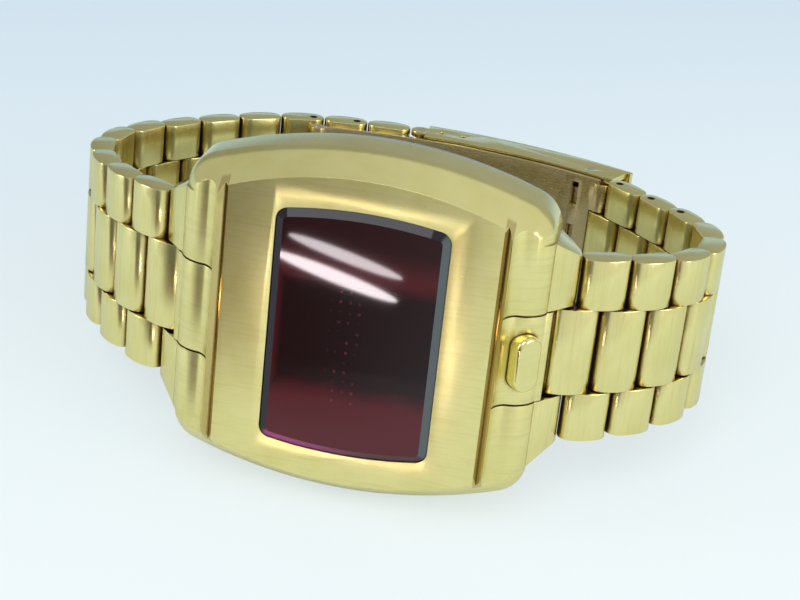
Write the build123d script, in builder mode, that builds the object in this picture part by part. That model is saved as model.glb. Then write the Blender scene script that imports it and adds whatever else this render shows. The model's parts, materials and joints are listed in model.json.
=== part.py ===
"""LED wrist watch on its three-row link bracelet, clasp shut, lying on one side.

Millimetres. The watch is drawn in its own frame first: X runs along the
bracelet from the 12 o'clock end to the 6 o'clock end, Y runs back from the
face plate to the clasp, and Z is the wrist axis. One resting plane then leans
that frame back until the case rim and the clasp edge both touch the table.
"""

from build123d import *
import os
from math import asin, atan2, cos, degrees, hypot, radians, sin

os.makedirs("parts", exist_ok=True)

# Bracelet links
link_pitch = 5.3  # from one outer link to the next
link_gap = 0.25  # between the rounded ends of neighbours in a row
row_gap = 0.11  # between the centre row and the outer rows
pin_diameter = 1.0
pin_clearance = 0.045  # radial, in the centre links and the leaf knuckles
lug_half_width = 10.55  # half the bracelet width at the case
clasp_half_width = 8.0  # half the bracelet width at the clasp
taper_step = 0.35  # half width lost at each outer link
link_crown = 0.2  # how far a link's outer face swells past its rounded ends
centre_row_share = 0.48  # inner faces of the outer row, as a share of half width
recess_depth = 0.35  # how far a removable pin sits inside the link end
recess_diameter = 0.9

# Bracelet curl at rest, in degrees, from the case outward, hinge by hinge
lug_heading = 17.4
right_bends = (3.6, 3.9, 4.8, 6.4, 8.0, 10.2, 12.4, 14.4, 14.9, 13.6, 10.4,
               6.5, 4.2, 3.1, 2.4, 2.1, 1.9)
left_bends = (7.4, 6.6, 6.0, 6.1, 6.8, 7.9, 9.4, 10.8, 11.1, 10.6, 9.5, 8.2,
              6.6, 5.1, 4.5, 4.2, 4.4, 5.1, 6.3, 7.2, 7.0, 2.8, 2.7, 2.7, 2.7)
removable_right = (6, 7, 8)
removable_left = (10, 11)

# Case
plate_width = 28.0  # brushed face plate between the two ribs
case_length = 38.0  # end face to end face, over both shoulders
rim_half_height = 19.0  # half height of the side band at the middle
end_half_height = 15.2  # the same arc, carried on to the end faces
case_corner_radius = 3.6
case_depth = 8.2  # face plate to the seat of the back
band_depth = 3.0  # how far back the side band reaches its full width
band_flare = 2.6  # how much the band widens from the rib crests back
band_round = 2.6
rim_round = 0.9
rib_rise = 0.6
rib_width = 0.95
groove_width = 0.35
groove_depth = 0.35
flute_width = 1.25
flute_depth = 0.85
shoulder_drop = 2.75
shoulder_bulge = 0.42
step_groove_width = 0.22
step_groove_depth = 0.3
tongue_length = 0.55
tongue_depth = 1.7
lug_root_half_height = 12.5
first_pin_drop = 0.99  # first link's face below the shoulder's end

# Crystal and display
crystal_width = 17.8
crystal_height = 26.9  # at the middle
crystal_side_height = 25.2  # at the two straight sides
crystal_corner = 1.3
crystal_thickness = 2.2
crystal_rise = 0.35
crystal_bevel_width = 0.8
crystal_bevel_depth = 0.45
crystal_clearance = 0.06
gasket_width = 0.9
gasket_thickness = 0.4
ledge_thickness = 1.0
cell_diameter = 11.6
cell_thickness = 3.0
cell_gap = 0.8  # between the two cells
cell_clearance = 0.1
module_wall = 1.2  # module past the cell pockets, above and below
module_side_wall = 6.5  # module past the cells, at the two sides
module_clearance = 0.2
cavity_corner = 2.5
display_rise = 1.3
display_width = 11.0
display_height = 18.0

# Case back
back_thickness = 2.3
back_inset = 0.55
back_round = 1.2
back_boss_height = 0.6
back_boss_clearance = 0.1
back_gasket_width = 0.9
back_gasket_thickness = 0.5
notch_width = 5.0
notch_depth = 0.6
notch_height = 0.7

# Command button
button_length = 6.2
button_width = 2.9
button_rise = 1.2
button_dome = 0.5
button_stem = 1.7
button_travel = 0.6
button_clearance = 0.05
button_tilt = 40.0  # degrees from the face plate's normal
button_place_share = 0.42  # along the shoulder, from flute to end face
pad_thickness = 0.5
pad_inset = 0.4

# Clasp, measured along its arc from the spring bar and outward from the arc
clasp_radius = 60.0
clasp_reach = 24.4  # spring bar to the end pin
cover_start = 0.7  # from the spring bar to the roof, which swings past the link
cover_overhang = 1.7  # cover end past the end pin
cover_thickness = 0.7
cover_headroom = 0.2  # above the last centre link
cover_wall = 0.7
wall_drop = 2.15  # reach of the side walls toward the wrist
bar_hole_step = 2.6
bar_hole_diameter = 0.7
leaf_thickness = 0.62
leaf_gap = 0.25
middle_leaf_half_width = 5.8
inner_leaf_half_width = 7.7
leaf_hinge_reach = 12.6  # leaf hinge, past the spring bar
leaf_knuckle_radius = 1.0
leaf_knuckle_half = 3.0
cover_knuckle_radius = 1.05
cover_hinge_back = 2.5  # from the end pin back to the cover hinge
cover_hinge_drop = 0.65
end_pin_drop = 1.95
end_knuckle_radius = 1.15
knuckle_gap = 0.12
channel_half_width = 2.1
channel_depth = 0.22
channel_margin = 6.0
slot_width = 0.9
slot_height = 2.9
slot_pitch = 5.3
slot_back = 3.6
hinge_pin_diameter = 0.9

# Shared
overrun = 5.0  # how far every cutting body passes the stock
pick_range = 0.1  # how far from a named depth an edge may be picked
solver_step = 0.001  # degrees
solver_rounds = 12

# What follows from the sizes above
half_pitch = link_pitch / 2
end_radius = (half_pitch - link_gap) / 2
pin_radius = pin_diameter / 2
bore_radius = pin_radius + pin_clearance
hinge_pin_radius = hinge_pin_diameter / 2
hinge_bore_radius = hinge_pin_radius + pin_clearance
half_length = case_length / 2
half_plate = plate_width / 2
cell_spacing = cell_diameter + cell_gap
module_width = cell_diameter + 2 * module_side_wall
module_height = cell_spacing + cell_diameter + 2 * (cell_clearance + module_wall)
cavity_width = module_width + 2 * module_clearance
cavity_height = module_height + 2 * module_clearance
# A domed outer face is one arc that runs on from both rounded ends
crown_sink = ((half_pitch / 2) ** 2 - link_crown ** 2) / (2 * link_crown)
crown_radius = crown_sink + link_crown + end_radius
crown_angle = atan2(half_pitch / 2, crown_sink)


def half_width(number):
    """Half width of the bracelet at an outer pair, counted from the case."""
    return max(lug_half_width - taper_step * number, clasp_half_width)


def inner_half(number):
    """Where the outer row's inner faces stand at an outer pair."""
    return centre_row_share * half_width(number)


# First hinge on each side: the end link's outer face runs on from the shoulder
first_pin = (half_length + end_radius + row_gap,
             shoulder_drop + 2 * end_radius + first_pin_drop)


def chain(side, bends, extra):
    """Pins of one half of the bracelet as (x, y) and the heading of each span."""
    x, y = side * first_pin[0], first_pin[1]
    turn = lug_heading
    pins, headings = [(x, y)], []
    for bend in bends:
        turn += bend + extra
        heading = turn if side > 0 else 180 - turn
        x += half_pitch * cos(radians(heading))
        y += half_pitch * sin(radians(heading))
        pins.append((x, y))
        headings.append(heading)
    return pins, headings


def outermost(side, pins, headings):
    """X of the outermost line on the links of one half of the bracelet."""
    reach = [side * x + end_radius for x, _ in pins]
    for (x, _), heading in zip(pins, headings):
        along, out = cos(radians(heading)), sin(radians(heading))
        if abs(along) < sin(crown_angle):
            middle = side * (x + half_pitch / 2 * along)
            reach.append(middle - crown_sink * out + crown_radius)
    return side * max(reach)


def clasp_arc(pins, headings):
    """Centre of the clasp's arc and the polar angle of the spring bar on it."""
    tangent = headings[-1] - degrees(asin(half_pitch / clasp_radius / 2))
    x = pins[-1][0] + clasp_radius * sin(radians(tangent))
    y = pins[-1][1] - clasp_radius * cos(radians(tangent))
    return (x, y), tangent + 90


def arc_point(arc, along, outward):
    """Point on the clasp, `along` its arc and `outward` from the wrist."""
    (x, y), start = arc
    angle = radians(start) - along / clasp_radius
    reach = clasp_radius + outward
    return (x + reach * cos(angle), y + reach * sin(angle))


def closing_error(extra_left, extra_right):
    """How far the right half's last pin is from the inner leaf's end."""
    arc = clasp_arc(*chain(-1, left_bends, extra_left))
    leaf_end = arc_point(arc, clasp_reach, -end_pin_drop)
    last = chain(1, right_bends, extra_right)[0][-1]
    return leaf_end[0] - last[0], leaf_end[1] - last[1]


# The two halves meet at the clasp: one small extra bend for each half closes it
extra = [0.0, 0.0]
for _ in range(solver_rounds):
    here = closing_error(*extra)
    left = closing_error(extra[0] + solver_step, extra[1])
    right = closing_error(extra[0], extra[1] + solver_step)
    a, b = (left[0] - here[0]) / solver_step, (right[0] - here[0]) / solver_step
    c, d = (left[1] - here[1]) / solver_step, (right[1] - here[1]) / solver_step
    span = a * d - b * c
    extra[0] -= (d * here[0] - b * here[1]) / span
    extra[1] -= (a * here[1] - c * here[0]) / span

left_pins, left_headings = chain(-1, left_bends, extra[0])
right_pins, right_headings = chain(1, right_bends, extra[1])
clasp = clasp_arc(left_pins, left_headings)

# Lean: the case rim and the clasp's lower edge stand on the same table
cover_outer = end_radius + cover_headroom + cover_thickness
clasp_back = left_pins[-1][1] + cover_outer
rim_back = case_depth - rim_round
lean = atan2(rim_half_height - clasp_half_width, clasp_back - rim_back)
rim_low = rim_half_height - rim_round
back_low = rim_half_height - back_inset - back_round
back_far = case_depth + back_thickness - back_round
lift = max(rim_low * cos(lean) + rim_back * sin(lean) + rim_round,
           back_low * cos(lean) + back_far * sin(lean) + back_round)
plate_half_height = rim_half_height - band_flare * band_depth / (band_depth + rib_rise)
front_reach = -plate_half_height * sin(lean)
back_reach = clasp_back * cos(lean) + clasp_half_width * sin(lean)
left_reach = outermost(-1, left_pins, left_headings)
right_reach = outermost(1, right_pins, right_headings)
watch = Plane(
    origin=(-(left_reach + right_reach) / 2, -(front_reach + back_reach) / 2, lift),
    x_dir=(1, 0, 0), z_dir=(0, sin(lean), cos(lean)))
depth_axis = Axis(watch.origin, watch.y_dir)
wrist_axis = Axis(watch.origin, watch.z_dir)


def level(height):
    """Plane across the wrist axis at a height."""
    return watch.offset(height)


def face(depth):
    """Plane parallel to the face plate, facing the viewer, at a depth."""
    return Plane(origin=watch.from_local_coords((0, depth, 0)),
                 x_dir=watch.x_dir, z_dir=-watch.y_dir)


def at_span(pin, heading, height):
    """Plane across the wrist axis with its X along a link, from its pin."""
    return Plane(origin=watch.from_local_coords((*pin, height)),
                 x_dir=watch.x_dir.rotate(wrist_axis, heading), z_dir=watch.z_dir)


def barrel(grow):
    """Plan outline of the case, evenly grown or shrunk, for a face plane."""
    end, top = half_length + grow, end_half_height + grow
    with BuildSketch() as plan:
        with BuildLine():
            ThreePointArc((-end, top), (0, rim_half_height + grow), (end, top))
            Line((end, top), (end, -top))
            ThreePointArc((end, -top), (0, -rim_half_height - grow), (-end, -top))
            Line((-end, -top), (-end, top))
        make_face()
        fillet(plan.vertices(), case_corner_radius + grow)
    return plan.sketch


def window(grow):
    """Crystal outline, evenly grown or shrunk, for a face plane."""
    side, top = crystal_width / 2 + grow, crystal_side_height / 2 + grow
    crown = crystal_height / 2 + grow
    with BuildSketch() as plan:
        with BuildLine():
            ThreePointArc((-side, top), (0, crown), (side, top))
            Line((side, top), (side, -top))
            ThreePointArc((side, -top), (0, -crown), (-side, -top))
            Line((-side, -top), (-side, top))
        make_face()
        fillet(plan.vertices(), crystal_corner + grow)
    return plan.sketch


# Shoulder line, from the plate's edge out to the end face, as (x, y)
groove_x = half_plate + groove_width
crest_x = half_plate + rib_width
flute_x = crest_x + flute_width
flute_mid = ((crest_x + flute_x) / 2 - rib_rise / 4,
             (flute_depth - rib_rise) / 2 + rib_rise / 3)
shoulder_mid = ((flute_x + half_length) / 2 + shoulder_bulge / 2,
                (flute_depth + shoulder_drop) / 2 - shoulder_bulge)


def shoulder_cut(side, drop, height):
    """Space in front of one shoulder, its floor lowered by `drop`."""
    top = -rib_rise - overrun
    points = [(crest_x, -rib_rise), flute_mid, (flute_x, flute_depth),
              shoulder_mid, (half_length, shoulder_drop)]
    crest, dip, base, swell, end = [(side * x, y + drop) for x, y in points]
    beyond = side * (half_length + overrun)
    with BuildSketch(level(height)) as gap:
        with BuildLine():
            ThreePointArc(crest, dip, base)
            ThreePointArc(base, swell, end)
            Polyline(end, (beyond, end[1]), (beyond, top), (crest[0], top), crest)
        make_face()
    return gap.sketch


case_floor = -rim_half_height - overrun
case_height = -2 * case_floor
lug_inner = inner_half(0)
tongue_half = lug_inner - row_gap
step_height = lug_inner - step_groove_width
crystal_back = crystal_thickness - crystal_rise
ledge_front = crystal_back + gasket_thickness
cavity_front = ledge_front + ledge_thickness
boss_face = case_depth - back_boss_height
gasket_front = case_depth - back_gasket_thickness
button_spot = (flute_x + (half_length - flute_x) * button_place_share,
               flute_depth + (shoulder_drop - flute_depth) * button_place_share
               - shoulder_bulge)
button_angle = radians(button_tilt)
button_out = (watch.x_dir * sin(button_angle) - watch.y_dir * cos(button_angle))
pocket_depth = button_stem + button_travel + button_clearance + pad_thickness


def button_level(height):
    """Plane across the button's axis, at a height above its shoulder."""
    spot = watch.from_local_coords((*button_spot, 0)) + button_out * height
    return Plane(origin=spot, x_dir=watch.z_dir, z_dir=button_out)


def rounded(width, height, corner):
    """Rounded rectangle for a face plane."""
    with BuildSketch() as plan:
        RectangleRounded(width, height, corner)
    return plan.sketch


with BuildPart() as case_body:
    with BuildSketch(face(case_depth)):
        add(barrel(0))
    extrude(amount=case_depth - band_depth)
    # The polished side band flares back from the face plate, then rounds over
    with BuildSketch(face(band_depth)):
        add(barrel(0))
    with BuildSketch(face(-rib_rise)):
        add(barrel(-band_flare))
    loft(ruled=True)
    bends = edges().filter_by_position(depth_axis, band_depth - pick_range,
                                       band_depth + pick_range)
    fillet(bends, band_round)
    fillet(edges().group_by(depth_axis)[-1], rim_round)
    # Square ends, where the shoulders meet the end links
    with BuildSketch(level(-lug_root_half_height)):
        with Locations((0, (case_depth - rim_round - rib_rise) / 2)):
            Rectangle(case_length, case_depth - rim_round + rib_rise)
    extrude(amount=2 * lug_root_half_height)
    # Face plate level, with a small groove beside each rib
    with BuildSketch(level(case_floor)):
        with BuildLine():
            Polyline((-crest_x, -rib_rise), (-groove_x, groove_depth),
                     (-half_plate, 0), (half_plate, 0), (groove_x, groove_depth),
                     (crest_x, -rib_rise), (crest_x, -rib_rise - overrun),
                     (-crest_x, -rib_rise - overrun), (-crest_x, -rib_rise))
        make_face()
    extrude(amount=case_height, mode=Mode.SUBTRACT)
    # Fluted shoulders, each parted in three by two fine steps
    for side in (-1, 1):
        extrude(shoulder_cut(side, 0, case_floor), amount=case_height,
                mode=Mode.SUBTRACT)
        for height in (step_height, -step_height - step_groove_width):
            extrude(shoulder_cut(side, step_groove_depth, height),
                    amount=step_groove_width, mode=Mode.SUBTRACT)
    # A tongue carries each middle third on, over the first centre link
    with BuildSketch(level(-tongue_half)):
        for side in (-1, 1):
            with BuildLine():
                Polyline((side * half_length, shoulder_drop),
                         (side * (half_length + tongue_length),
                          shoulder_drop + tongue_length),
                         (side * (half_length + tongue_length),
                          shoulder_drop + tongue_depth),
                         (side * half_length, shoulder_drop + tongue_depth),
                         (side * half_length, shoulder_drop))
            make_face()
    extrude(amount=2 * tongue_half)
    # Window, ledge and module cavity, then the seat of the back's gasket
    with BuildSketch(face(ledge_front)):
        add(window(crystal_clearance))
    extrude(amount=ledge_front + overrun, mode=Mode.SUBTRACT)
    with BuildSketch(face(cavity_front)):
        add(window(-gasket_width))
    extrude(amount=cavity_front, mode=Mode.SUBTRACT)
    with BuildSketch(face(case_depth + overrun)):
        add(rounded(cavity_width, cavity_height, cavity_corner))
    extrude(amount=case_depth + overrun - cavity_front, mode=Mode.SUBTRACT)
    with BuildSketch(face(case_depth + overrun)):
        add(rounded(cavity_width + 2 * back_gasket_width,
                    cavity_height + 2 * back_gasket_width,
                    cavity_corner + back_gasket_width))
    extrude(amount=overrun + back_gasket_thickness, mode=Mode.SUBTRACT)
    with BuildSketch(button_level(-pocket_depth)):
        SlotOverall(button_length + 2 * button_clearance,
                    button_width + 2 * button_clearance)
    extrude(amount=pocket_depth + overrun, mode=Mode.SUBTRACT)

with BuildPart() as crystal:
    with BuildSketch(face(crystal_back)):
        add(window(0))
    extrude(amount=crystal_thickness)
    front = faces().sort_by(depth_axis)[0]
    chamfer(front.edges(), length=crystal_bevel_width,
            length2=crystal_bevel_depth, reference=front)

with BuildPart() as crystal_gasket:
    with BuildSketch(face(ledge_front)):
        add(window(0))
        add(window(-gasket_width), mode=Mode.SUBTRACT)
    extrude(amount=gasket_thickness)

with BuildPart() as led_module:
    with BuildSketch(face(boss_face)):
        add(rounded(cavity_width - 2 * module_clearance,
                    cavity_height - 2 * module_clearance,
                    cavity_corner - module_clearance))
    extrude(amount=boss_face - cavity_front)
    with BuildSketch(face(cavity_front)):
        Rectangle(display_width, display_height)
    extrude(amount=display_rise)
    with BuildSketch(face(boss_face)):
        with Locations((0, cell_spacing / 2), (0, -cell_spacing / 2)):
            Circle(cell_diameter / 2 + cell_clearance)
    extrude(amount=cell_thickness, mode=Mode.SUBTRACT)

with BuildPart() as battery_cells:
    with BuildSketch(face(boss_face)):
        with Locations((0, cell_spacing / 2), (0, -cell_spacing / 2)):
            Circle(cell_diameter / 2)
    extrude(amount=cell_thickness)

with BuildPart() as case_back:
    with BuildSketch(face(case_depth + back_thickness)):
        add(barrel(-back_inset))
    extrude(amount=back_thickness)
    fillet(edges().group_by(depth_axis)[-1], back_round)
    with BuildSketch(face(case_depth)):
        add(rounded(cavity_width - 2 * back_boss_clearance,
                    cavity_height - 2 * back_boss_clearance,
                    cavity_corner - back_boss_clearance))
    extrude(amount=back_boss_height)
    # Pry notch at the upper edge
    with BuildSketch(face(case_depth + notch_height)):
        with Locations((0, rim_half_height - back_inset)):
            Rectangle(notch_width, 2 * notch_depth)
    extrude(amount=notch_height, mode=Mode.SUBTRACT)

with BuildPart() as back_gasket:
    with BuildSketch(face(case_depth)):
        add(rounded(cavity_width + 2 * back_gasket_width,
                    cavity_height + 2 * back_gasket_width,
                    cavity_corner + back_gasket_width))
        add(rounded(cavity_width, cavity_height, cavity_corner),
            mode=Mode.SUBTRACT)
    extrude(amount=back_gasket_thickness)

with BuildPart() as command_button:
    with BuildSketch(button_level(-button_stem)):
        SlotOverall(button_length, button_width)
    extrude(amount=button_stem + button_rise)
    top = faces().sort_by(Axis(watch.origin, button_out))[-1]
    fillet(top.edges(), button_dome)

with BuildPart() as button_pad:
    with BuildSketch(button_level(-pocket_depth)):
        SlotOverall(button_length - 2 * pad_inset, button_width - 2 * pad_inset)
    extrude(amount=pad_thickness)


def end_link(side):
    """Two lugs fixed to the case's end face, with the first hinge pin."""
    x, y = side * first_pin[0], first_pin[1]
    root = (side * half_length, shoulder_drop)
    away = hypot(first_pin[0] - half_length, y - shoulder_drop)
    slope = atan2(y - shoulder_drop, first_pin[0] - half_length)
    slope -= asin(end_radius / away)
    tangent = (x + side * end_radius * sin(slope), y - end_radius * cos(slope))
    tip = side * (first_pin[0] + end_radius)
    with BuildPart() as lugs:
        with BuildSketch(level(lug_inner)):
            with BuildLine():
                Polyline(root, tangent, (x, y), (x, y + end_radius),
                         (root[0], y + end_radius), root)
            make_face()
            with Locations((x, y)):
                Circle(end_radius)
        extrude(amount=lug_root_half_height - lug_inner)
        # Outer faces taper from the case to the first outer link
        with BuildSketch(face(case_depth + overrun)):
            with BuildLine():
                Polyline((root[0], lug_root_half_height), (tip, lug_half_width),
                         (tip + side * overrun, lug_half_width),
                         (tip + side * overrun, rim_half_height),
                         (root[0], rim_half_height),
                         (root[0], lug_root_half_height))
            make_face()
        extrude(amount=case_depth + 2 * overrun, mode=Mode.SUBTRACT)
        mirror(about=watch)
    with BuildPart() as pin:
        with BuildSketch(level(-lug_inner)):
            with Locations((x, y)):
                Circle(pin_radius)
        extrude(amount=2 * lug_inner)
    return Compound([*lugs.part.solids(), *pin.part.solids()])


def link_outline(side, swell):
    """Side view of a link from its first pin, its outer face domed by `swell`."""
    out = -side
    lean_in = crown_angle if swell else 0
    reach = end_radius * sin(lean_in)
    rise = out * end_radius * cos(lean_in)
    start, end = (-reach, rise), (half_pitch + reach, rise)
    with BuildSketch() as plan:
        with BuildLine():
            if swell:
                ThreePointArc(start, (half_pitch / 2, out * (end_radius + swell)), end)
            else:
                Line(start, end)
            ThreePointArc(end, (half_pitch + end_radius, 0),
                          (half_pitch, -out * end_radius))
            Line((half_pitch, -out * end_radius), (0, -out * end_radius))
            ThreePointArc((0, -out * end_radius), (-end_radius, 0), start)
        make_face()
    return plan.sketch


def centre_link(number, side, pins, headings):
    """One link of the centre row, with a running bore at each end."""
    half = inner_half(number) - row_gap
    start = pins[2 * number - 2]
    # The clasp cover lies close over the last links, so those stay flat
    swell = 0 if 2 * number == len(pins) else link_crown
    with BuildPart() as link:
        with BuildSketch(at_span(start, headings[2 * number - 2], -half)):
            add(link_outline(side, swell))
            with Locations((0, 0), (half_pitch, 0)):
                Circle(bore_radius, mode=Mode.SUBTRACT)
        extrude(amount=2 * half)
    return link.part


def outer_pair(number, side, pins, headings, removable):
    """The two outer links of one row step, joined by their two pins."""
    inner, outer = inner_half(number), half_width(number)
    start, heading = pins[2 * number - 1], headings[2 * number - 1]
    with BuildPart() as links:
        with BuildSketch(at_span(start, heading, inner)):
            add(link_outline(side, link_crown))
        extrude(amount=outer - inner)
        if removable:
            with BuildSketch(at_span(start, heading, outer - recess_depth)):
                with Locations((half_pitch, 0)):
                    Circle(recess_diameter / 2)
            extrude(amount=recess_depth, mode=Mode.SUBTRACT)
        mirror(about=watch)
    with BuildPart() as pair_pins:
        with BuildSketch(at_span(start, heading, -inner)):
            with Locations((0, 0), (half_pitch, 0)):
                Circle(pin_radius)
        extrude(amount=2 * inner)
    return Compound([*links.part.solids(), *pair_pins.part.solids()])


# Clasp: cover, middle leaf and inner leaf folded on one another in an arc
cover_inner = end_radius + cover_headroom
cover_end = clasp_reach + cover_overhang
wall_end = clasp_reach + half_pitch - end_radius - link_gap
middle_out = -end_radius - leaf_gap
middle_in = middle_out - leaf_thickness
inner_out = middle_in - leaf_gap
inner_in = inner_out - leaf_thickness
leaf_hinge = (-leaf_hinge_reach, middle_in - leaf_gap / 2 - leaf_thickness / 2)
cover_hinge = (clasp_reach - cover_hinge_back, -cover_hinge_drop)
end_hinge = (clasp_reach, -end_pin_drop)
last_centre_half = inner_half(len(left_bends)) - row_gap
end_fork_half = last_centre_half + knuckle_gap
fork_half_width = clasp_half_width - cover_wall - knuckle_gap


def arc_strip(start, end, inner, outer, height):
    """Curved strip of the clasp between two places along its arc."""
    middle = (start + end) / 2
    with BuildSketch(level(height)) as strip:
        with BuildLine():
            ThreePointArc(arc_point(clasp, start, outer),
                          arc_point(clasp, middle, outer),
                          arc_point(clasp, end, outer))
            Line(arc_point(clasp, end, outer), arc_point(clasp, end, inner))
            ThreePointArc(arc_point(clasp, end, inner),
                          arc_point(clasp, middle, inner),
                          arc_point(clasp, start, inner))
            Line(arc_point(clasp, start, inner), arc_point(clasp, start, outer))
        make_face()
    return strip.sketch


def disc(spot, radius, height):
    """Round section of a knuckle, pin or bore at a place on the clasp."""
    with BuildSketch(level(height)) as ring:
        with Locations(arc_point(clasp, *spot)):
            Circle(radius)
    return ring.sketch


with BuildPart() as clasp_cover:
    extrude(arc_strip(cover_start, cover_end, cover_inner, cover_outer,
                      -clasp_half_width), amount=2 * clasp_half_width)
    # Side walls, each with a round ear for the spring bar
    for height in (-clasp_half_width, clasp_half_width - cover_wall):
        extrude(arc_strip(cover_start, wall_end, -wall_drop, cover_outer,
                          height), amount=cover_wall)
        extrude(disc((0, 0), end_radius, height), amount=cover_wall)
    for place in (1, 2):
        extrude(disc((place * bar_hole_step, 0), bar_hole_diameter / 2,
                     -clasp_half_width - overrun),
                amount=2 * (clasp_half_width + overrun), mode=Mode.SUBTRACT)
    extrude(disc((0, 0), pin_radius, -clasp_half_width - overrun),
            amount=2 * (clasp_half_width + overrun), mode=Mode.SUBTRACT)
    extrude(disc(cover_hinge, hinge_pin_radius, -clasp_half_width - overrun),
            amount=2 * (clasp_half_width + overrun), mode=Mode.SUBTRACT)

with BuildPart() as spring_bar:
    extrude(disc((0, 0), pin_radius, -clasp_half_width),
            amount=2 * clasp_half_width)

with BuildPart() as cover_hinge_pin:
    extrude(disc(cover_hinge, hinge_pin_radius, -clasp_half_width),
            amount=2 * clasp_half_width)

with BuildPart() as clasp_middle_leaf:
    extrude(arc_strip(leaf_hinge[0], cover_hinge[0], middle_in, middle_out,
                      -middle_leaf_half_width),
            amount=2 * middle_leaf_half_width)
    extrude(disc(cover_hinge, cover_knuckle_radius, -middle_leaf_half_width),
            amount=2 * middle_leaf_half_width)
    extrude(disc(leaf_hinge, leaf_knuckle_radius, -leaf_knuckle_half),
            amount=2 * leaf_knuckle_half)
    # Room for the inner leaf's two knuckles
    for side in (-1, 1):
        extrude(disc(leaf_hinge, leaf_knuckle_radius + knuckle_gap,
                     side * leaf_knuckle_half),
                amount=side * inner_leaf_half_width, mode=Mode.SUBTRACT)
    extrude(disc(cover_hinge, hinge_bore_radius, -clasp_half_width),
            amount=2 * clasp_half_width, mode=Mode.SUBTRACT)
    extrude(disc(leaf_hinge, hinge_bore_radius, -clasp_half_width),
            amount=2 * clasp_half_width, mode=Mode.SUBTRACT)

with BuildPart() as clasp_inner_leaf:
    extrude(arc_strip(leaf_hinge[0], end_hinge[0], inner_in, inner_out,
                      -inner_leaf_half_width),
            amount=2 * inner_leaf_half_width)
    for side in (-1, 1):
        extrude(disc(leaf_hinge, leaf_knuckle_radius,
                     side * (leaf_knuckle_half + knuckle_gap)),
                amount=side * (inner_leaf_half_width - leaf_knuckle_half
                               - knuckle_gap))
        extrude(disc(end_hinge, end_knuckle_radius, side * end_fork_half),
                amount=side * (fork_half_width - end_fork_half))
    # Room for the middle leaf's knuckle and, at the fork, for the last link
    extrude(disc(leaf_hinge, leaf_knuckle_radius + knuckle_gap,
                 -leaf_knuckle_half - knuckle_gap),
            amount=2 * (leaf_knuckle_half + knuckle_gap), mode=Mode.SUBTRACT)
    extrude(disc(end_hinge, end_radius + knuckle_gap, -end_fork_half),
            amount=2 * end_fork_half, mode=Mode.SUBTRACT)
    # Stamped channel on the wrist side
    extrude(arc_strip(leaf_hinge[0] + channel_margin,
                      end_hinge[0] - channel_margin, inner_in - overrun,
                      inner_in + channel_depth, -channel_half_width),
            amount=2 * channel_half_width, mode=Mode.SUBTRACT)
    for place in (-1, 0, 1):
        extrude(arc_strip(end_hinge[0] - slot_back,
                          end_hinge[0] - slot_back + slot_width,
                          inner_in - overrun, inner_out + leaf_gap / 2,
                          place * slot_pitch - slot_height / 2),
                amount=slot_height, mode=Mode.SUBTRACT)
    extrude(disc(leaf_hinge, hinge_pin_radius, -clasp_half_width),
            amount=2 * clasp_half_width, mode=Mode.SUBTRACT)
    extrude(disc(end_hinge, pin_radius, -clasp_half_width),
            amount=2 * clasp_half_width, mode=Mode.SUBTRACT)

with BuildPart() as leaf_hinge_pin:
    extrude(disc(leaf_hinge, hinge_pin_radius, -inner_leaf_half_width),
            amount=2 * inner_leaf_half_width)

with BuildPart() as end_pin:
    extrude(disc(end_hinge, pin_radius, -last_centre_half),
            amount=2 * last_centre_half)


def finish(piece, name):
    """Label one finished piece and write its STEP file."""
    piece.label = name
    export_step(piece, f"parts/{name}.step")


finish(case_body.part, "case_body")
finish(crystal.part, "crystal")
finish(crystal_gasket.part, "crystal_gasket")
finish(led_module.part, "led_module")
finish(battery_cells.part, "battery_cells")
finish(case_back.part, "case_back")
finish(back_gasket.part, "back_gasket")
finish(command_button.part, "command_button")
finish(button_pad.part, "button_pad")
finish(clasp_cover.part, "clasp_cover")
finish(spring_bar.part, "spring_bar")
finish(cover_hinge_pin.part, "cover_hinge_pin")
finish(clasp_middle_leaf.part, "clasp_middle_leaf")
finish(clasp_inner_leaf.part, "clasp_inner_leaf")
finish(leaf_hinge_pin.part, "leaf_hinge_pin")
finish(end_pin.part, "end_pin")
for name, side, pins, headings, removable in (
        ("right", 1, right_pins, right_headings, removable_right),
        ("left", -1, left_pins, left_headings, removable_left)):
    finish(end_link(side), f"end_link_{name}")
    for number in range(1, len(pins) // 2 + 1):
        finish(centre_link(number, side, pins, headings),
               f"centre_link_{name}_{number}")
    for number in range(1, len(pins) // 2):
        finish(outer_pair(number, side, pins, headings, number in removable),
               f"outer_pair_{name}_{number}")
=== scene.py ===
"""Looks for the led watch: finishes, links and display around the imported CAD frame.

Everything is in metres in the frame of the CAD row. The watch has a frame of
its own, in millimetres: X from the 12 o'clock end to the 6 o'clock end, Y from
the face plate back to the clasp, Z along the wrist axis.
"""

from __future__ import annotations

import json
import logging
import math
from dataclasses import dataclass, field
from enum import Enum
from typing import Any, Sequence

import bmesh
import bpy
from mathutils import Matrix, Vector

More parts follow.
